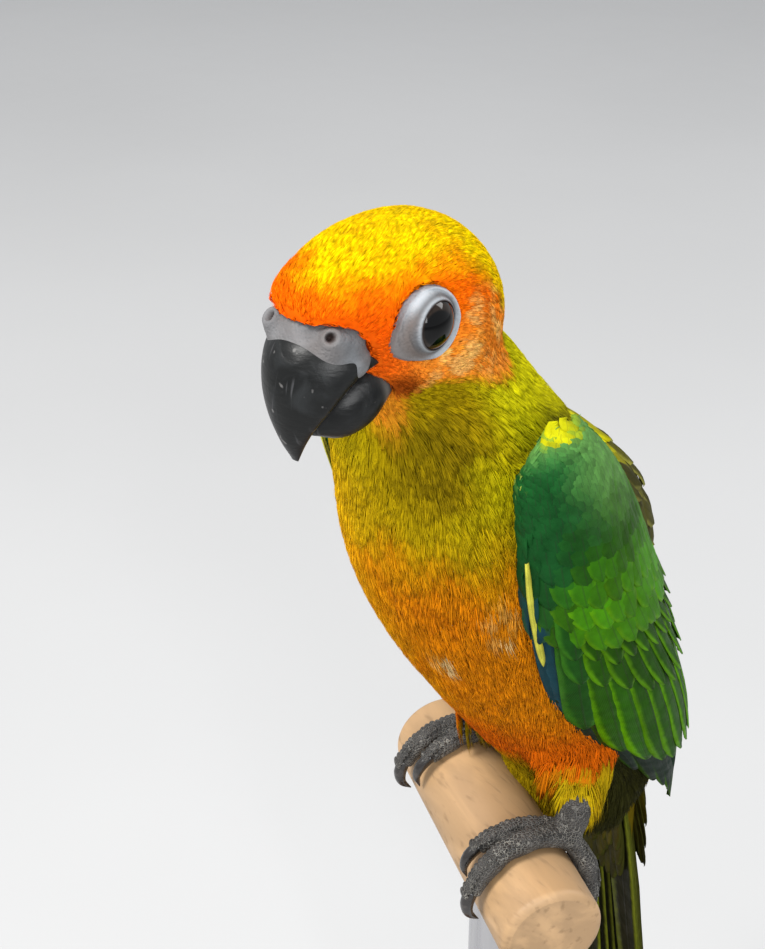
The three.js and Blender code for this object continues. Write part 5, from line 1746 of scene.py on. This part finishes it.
class CONURE_OT_feet(bpy.types.Operator):
    """Makes the scaly feet that grip the perch, their rows of plates and their claws"""

    bl_idname = "conure.feet"
    bl_label = "Feet and claws"

    def execute(self, context):
        scaly, horn, rule = scaly_finish(), claw_finish(), self.plate_rule()
        for word, foot in SIDES:
            plates = []
            palm = round_perch(foot * LEG_X, PALM_TURN, TOE_LIFT + 0.6)
            shank = [(foot * 14, 7, 26), (foot * 15, 6, 20), (palm[0], palm[1] + 3, palm[2] + 6), tuple(palm)]
            places = [bar_place(shank, SHANK_RADII)]
            for toe in TOES:
                r, points, tops, outs = toe["radius"], [], [], []
                for share in np.linspace(0, 1, 6):
                    side = foot * (LEG_X + lerp(toe["from"], toe["to"], share))
                    reach = TOE_LIFT + (0.7 if share == 0 else 0) - (2.4 - r - 0.3) * share
                    turn = lerp(PALM_TURN, toe["turn"], share)
                    points.append(round_perch(side, turn, reach))
                    tops.append(round_perch(side, turn, reach + 0.84 * r))
                    outs.append(round_perch(0, turn, 1.0) - PERCH_CENTRE)
                places.append(bar_place(points, [r * v for v in TOE_SWELL]))
                row = rule.grow(
                    "plates", self.line(tops, outs), Spacing=0.0011, Length=0.0017, Width=r * 0.00155,
                    Height=0.0009, Material=scaly, Seed=sizes().seed,
                )
                plates.append(row)
            tubes = [tube_mesh("part", place, 20, 40) for place in places]
            mesh = relaxed(remeshed("foot_block", joined("foot", tubes), 0.00045), 4, 0.0)
            rows = joined(f"foot_plates_{word}", plates)
            add_piece(f"foot_skin_{word}", mesh, scaly, "foot_scales", f"foot_{word}")
            add_piece(f"foot_plates_{word}", rows, scaly, "foot_scales")
            for toe in TOES:
                self.claw(toe, foot, word, horn)
        return {"FINISHED"}

    def line(self, points, outs):
        """A line of points with the way out of the toe on each, for the row of plates."""
        mesh = bpy.data.meshes.new("line")
        edges = [(i, i + 1) for i in range(len(points) - 1)]
        mesh.from_pydata([tuple((p + SHIFT) * MM) for p in points], edges, [])
        layer = mesh.attributes.new("Out", "FLOAT_VECTOR", "POINT")
        layer.data.foreach_set("vector", np.array(outs, np.float32).ravel())
        return mesh

    def plate_rule(self):
        """Low round plates that overlap in a row along a line."""
        rule = Rule("plate_row", Spacing="Float", Length="Float", Width="Float", Height="Float", Seed="Int")
        curve = rule.node("GeometryNodeMeshToCurve", {}, rule.input("Base"))
        by_length = {"mode": "LENGTH"}
        curve = rule.node("GeometryNodeResampleCurve", by_length, curve, Length=rule.input("Spacing"))
        points = rule.node("GeometryNodeCurveToPoints", {"mode": "EVALUATED"}, curve)
        tangent = Wire(rule, points.socket.node.outputs["Tangent"])
        out = rule.node("GeometryNodeInputNamedAttribute", {"data_type": "FLOAT_VECTOR"}, "Out")
        turn = rule.node("FunctionNodeAlignRotationToVector", {"axis": "Z"}, Vector=out)
        about_z = {"axis": "X", "pivot_axis": "Z"}
        turn = rule.node("FunctionNodeAlignRotationToVector", about_z, turn, Vector=tangent)
        ball = rule.node("GeometryNodeMeshUVSphere", {}, 18, 10, 0.5)
        vary = rule.node("FunctionNodeRandomValue", {"data_type": "FLOAT"}, Seed=rule.input("Seed"), out=1)
        vary.socket.node.inputs[2].default_value, vary.socket.node.inputs[3].default_value = 0.88, 1.1
        long, wide = rule.input("Length") * vary, rule.input("Width") * vary
        scale = rule.node("ShaderNodeCombineXYZ", {}, long, wide, rule.input("Height"))
        settled = {"Instance": ball, "Rotation": turn, "Scale": scale}
        rule.close(rule.node("GeometryNodeInstanceOnPoints", {}, points, **settled))
        return rule

    def claw(self, toe, foot, word, horn):
        """One claw, arched from its toe down to the perch."""
        sign = math.copysign(1, toe["turn"] - PALM_TURN)
        points = []
        for share in (-0.1, 0.3, 0.65, 1.0):
            arch = 1.1 * math.sin(math.pi * min(max(share, 0), 1))
            reach = PERCH_RADIUS + lerp(toe["radius"] + 0.5, 0.9, share) + arch
            turn = toe["turn"] + sign * CLAW_TURN * share
            points.append(round_perch(foot * (LEG_X + toe["to"]), turn, reach))
        r, name = toe["radius"], f"{toe['name']}_{word}"
        mesh = tube_mesh(f"claw_horn_{name}", bar_place(points, (r * 0.62, r * 0.62, r * 0.42, 0.12)), 20, 24)
        add_piece(f"claw_horn_{name}", mesh, horn, "claw_horn", f"claw_{name}")


class CONURE_OT_stand(bpy.types.Operator):
    """Makes the wooden base, the steel rod and the perch as turned bars"""

    bl_idname = "conure.stand"
    bl_label = "Stand"

    def execute(self, context):
        rule = self.turned_rule()
        rod_foot, collar_foot = BASE_HEIGHT - 1.0, BASE_HEIGHT - 0.5
        rod_length = PERCH_CENTRE[2] + LIFT - PERCH_RADIUS + 1.0 - rod_foot
        base_wood = wood_finish("base_wood", "stand_wood", (0.25, 1.0, 1.0), 0.32, 0.3)
        perch_wood = wood_finish("perch_grain", "perch_wood", (0.22, 1.0, 1.0), 0.5, 0.0)
        steel = steel_finish()
        start = PERCH_CENTRE + SHIFT - PERCH_AXIS * PERCH_LENGTH / 2
        base = (BASE_RADIUS, BASE_HEIGHT, 1.8, 0.3, 144)
        rod = (ROD_RADIUS, rod_length, 0.4, 0.8, 48)
        collar = (ROD_RADIUS + 2.6, 3.2, 0.8, 0.2, 64)
        perch = (PERCH_RADIUS, PERCH_LENGTH, PERCH_EDGE, 0.3, 80)
        self.bar(rule, "base_disc", (0, 0, 0), UP, base, base_wood, "stand_wood", "stand_base")
        self.bar(rule, "rod_bar", (0, 0, rod_foot), UP, rod, steel, "stand_steel", "stand_rod")
        self.bar(rule, "rod_collar", (0, 0, collar_foot), UP, collar, steel, "stand_steel")
        self.bar(rule, "perch_bar", start, PERCH_AXIS, perch, perch_wood, "perch_wood", "stand_perch")
        return {"FINISHED"}

    def bar(self, rule, name, start, way, shape, finish, slot, *nodes):
        """One bar from its start along a way. Its shape is radius, length, rounding, step and sides."""
        radius, length, edge, step, sides = shape
        mesh = rule.grow(
            name, bpy.data.meshes.new("bar"), Radius=radius * MM, Length=length * MM, Edge=edge * MM,
            Step=step * MM, Sides=sides, Material=finish,
        )
        turn = Vector(way).to_track_quat("Z", "Y").to_matrix().to_4x4()
        mesh.transform(Matrix.Translation(Vector(start) * MM) @ turn)
        add_piece(name, mesh, finish, slot, *nodes)

    def turned_rule(self):
        """A round bar with rounded ends: its radius follows a quarter circle near both ends."""
        rule = Rule("turned_bar", Radius="Float", Length="Float", Edge="Float", Step="Float", Sides="Int")
        end = rule.node("ShaderNodeCombineXYZ", {}, 0.0, 0.0, rule.input("Length"))
        line = rule.node("GeometryNodeCurvePrimitiveLine", {}, End=end)
        line = rule.node("GeometryNodeResampleCurve", {"mode": "LENGTH"}, line, Length=rule.input("Step"))
        along = rule.node("GeometryNodeSplineParameter", {}, out="Length")
        near = along.maths("MINIMUM", rule.input("Length") - along)
        gap = (rule.input("Edge") - near).maths("MAXIMUM", 0.0)
        edge = rule.input("Edge")
        radius = rule.input("Radius") - edge + (edge * edge - gap * gap).maths("MAXIMUM", 0.0).maths("SQRT")
        by_radius, sides = {"mode": "RADIUS"}, rule.input("Sides")
        profile = rule.node("GeometryNodeCurvePrimitiveCircle", by_radius, sides, Radius=1.0)
        bar = rule.node("GeometryNodeCurveToMesh", {}, line, profile, Scale=radius, Fill_Caps=True)
        rule.close(rule.node("GeometryNodeSetShadeSmooth", {}, bar))
        return rule


class CONURE_OT_stage(bpy.types.Operator):
    """Lays the floor, hangs the studio lights and sets the camera"""

    bl_idname = "conure.stage"
    bl_label = "Stage"

    def execute(self, context):
        scene = context.scene
        bpy.ops.mesh.primitive_plane_add(size=8.0)
        floor = context.object
        floor.name = "floor"
        floor.data.materials.append(floor_finish())
        world = bpy.data.worlds.new("studio")
        scene.world = world
        world.use_nodes = True
        sky = world.node_tree.nodes["Background"].inputs
        sky["Color"].default_value, sky["Strength"].default_value = (0.95, 0.97, 1.0, 1.0), 0.75
        self.light("key", (-0.2, -0.7, 1.1), 16.0, 0.4, (1.0, 0.985, 0.96))
        self.light("fill", (0.85, -0.5, 0.7), 8.0, 0.45, (0.98, 0.99, 1.0))
        self.light("rim", (0.3, 0.8, 0.9), 5.0, 0.4, (1.0, 1.0, 1.0))
        camera = bpy.data.cameras.new("camera")
        camera.lens = SENSOR * FOCAL_PIXELS / PICTURE_PIXELS
        camera.clip_start, camera.clip_end = 0.01, 50
        holder = bpy.data.objects.new("camera", camera)
        context.collection.objects.link(holder)
        right = Vector((math.cos(CAMERA_TURN), math.sin(CAMERA_TURN), 0))
        flat = math.cos(CAMERA_RISE)
        back = Vector((math.sin(CAMERA_TURN) * flat, -math.cos(CAMERA_TURN) * flat, math.sin(CAMERA_RISE)))
        turn = Matrix((right, back.cross(right), back)).transposed().to_4x4()
        holder.matrix_world = Matrix.Translation((CAMERA_PLACE + SHIFT) * MM) @ turn
        scene.camera = holder
        scene.view_settings.view_transform = "Standard"
        return {"FINISHED"}

    def light(self, name, place, power, width, tint):
        """A square lamp that shines at the bird."""
        lamp = bpy.data.lights.new(name, "AREA")
        lamp.energy, lamp.size, lamp.color = power, width, tint
        holder = bpy.data.objects.new(name, lamp)
        bpy.context.collection.objects.link(holder)
        holder.location = place
        aim = Vector(LAMP_AIM) - Vector(place)
        holder.rotation_euler = aim.to_track_quat("-Z", "Y").to_euler()


class CONURE_PT_panel(bpy.types.Panel):
    """Lists the settings and the steps that build the bird"""

    bl_idname = "CONURE_PT_panel"
    bl_label = "Conure"
    bl_space_type = "VIEW_3D"
    bl_region_type = "UI"
    bl_category = "Conure"

    def draw(self, context):
        for group in (context.scene.conure_sizes, context.scene.conure_colours):
            box = self.layout.box()
            for name in group.__annotations__:
                box.prop(group, name)
        for operator in OPERATORS:
            self.layout.operator(operator.bl_idname)


OPERATORS = (
    CONURE_OT_skin, CONURE_OT_eyes, CONURE_OT_bill, CONURE_OT_coat, CONURE_OT_wings, CONURE_OT_tail,
    CONURE_OT_feet, CONURE_OT_stand, CONURE_OT_stage,
)
CLASSES = (ConureSizes, ConureColours, *OPERATORS, CONURE_PT_panel)


def register():
    for cls in CLASSES:
        bpy.utils.register_class(cls)
    bpy.types.Scene.conure_sizes = PointerProperty(type=ConureSizes)
    bpy.types.Scene.conure_colours = PointerProperty(type=ConureColours)


def unregister():
    del bpy.types.Scene.conure_colours
    del bpy.types.Scene.conure_sizes
    for cls in reversed(CLASSES):
        bpy.utils.unregister_class(cls)


def main():
    register()
    for operator in OPERATORS:
        group, name = operator.bl_idname.split(".")
        getattr(getattr(bpy.ops, group), name)()


if __name__ == "__main__":
    main()
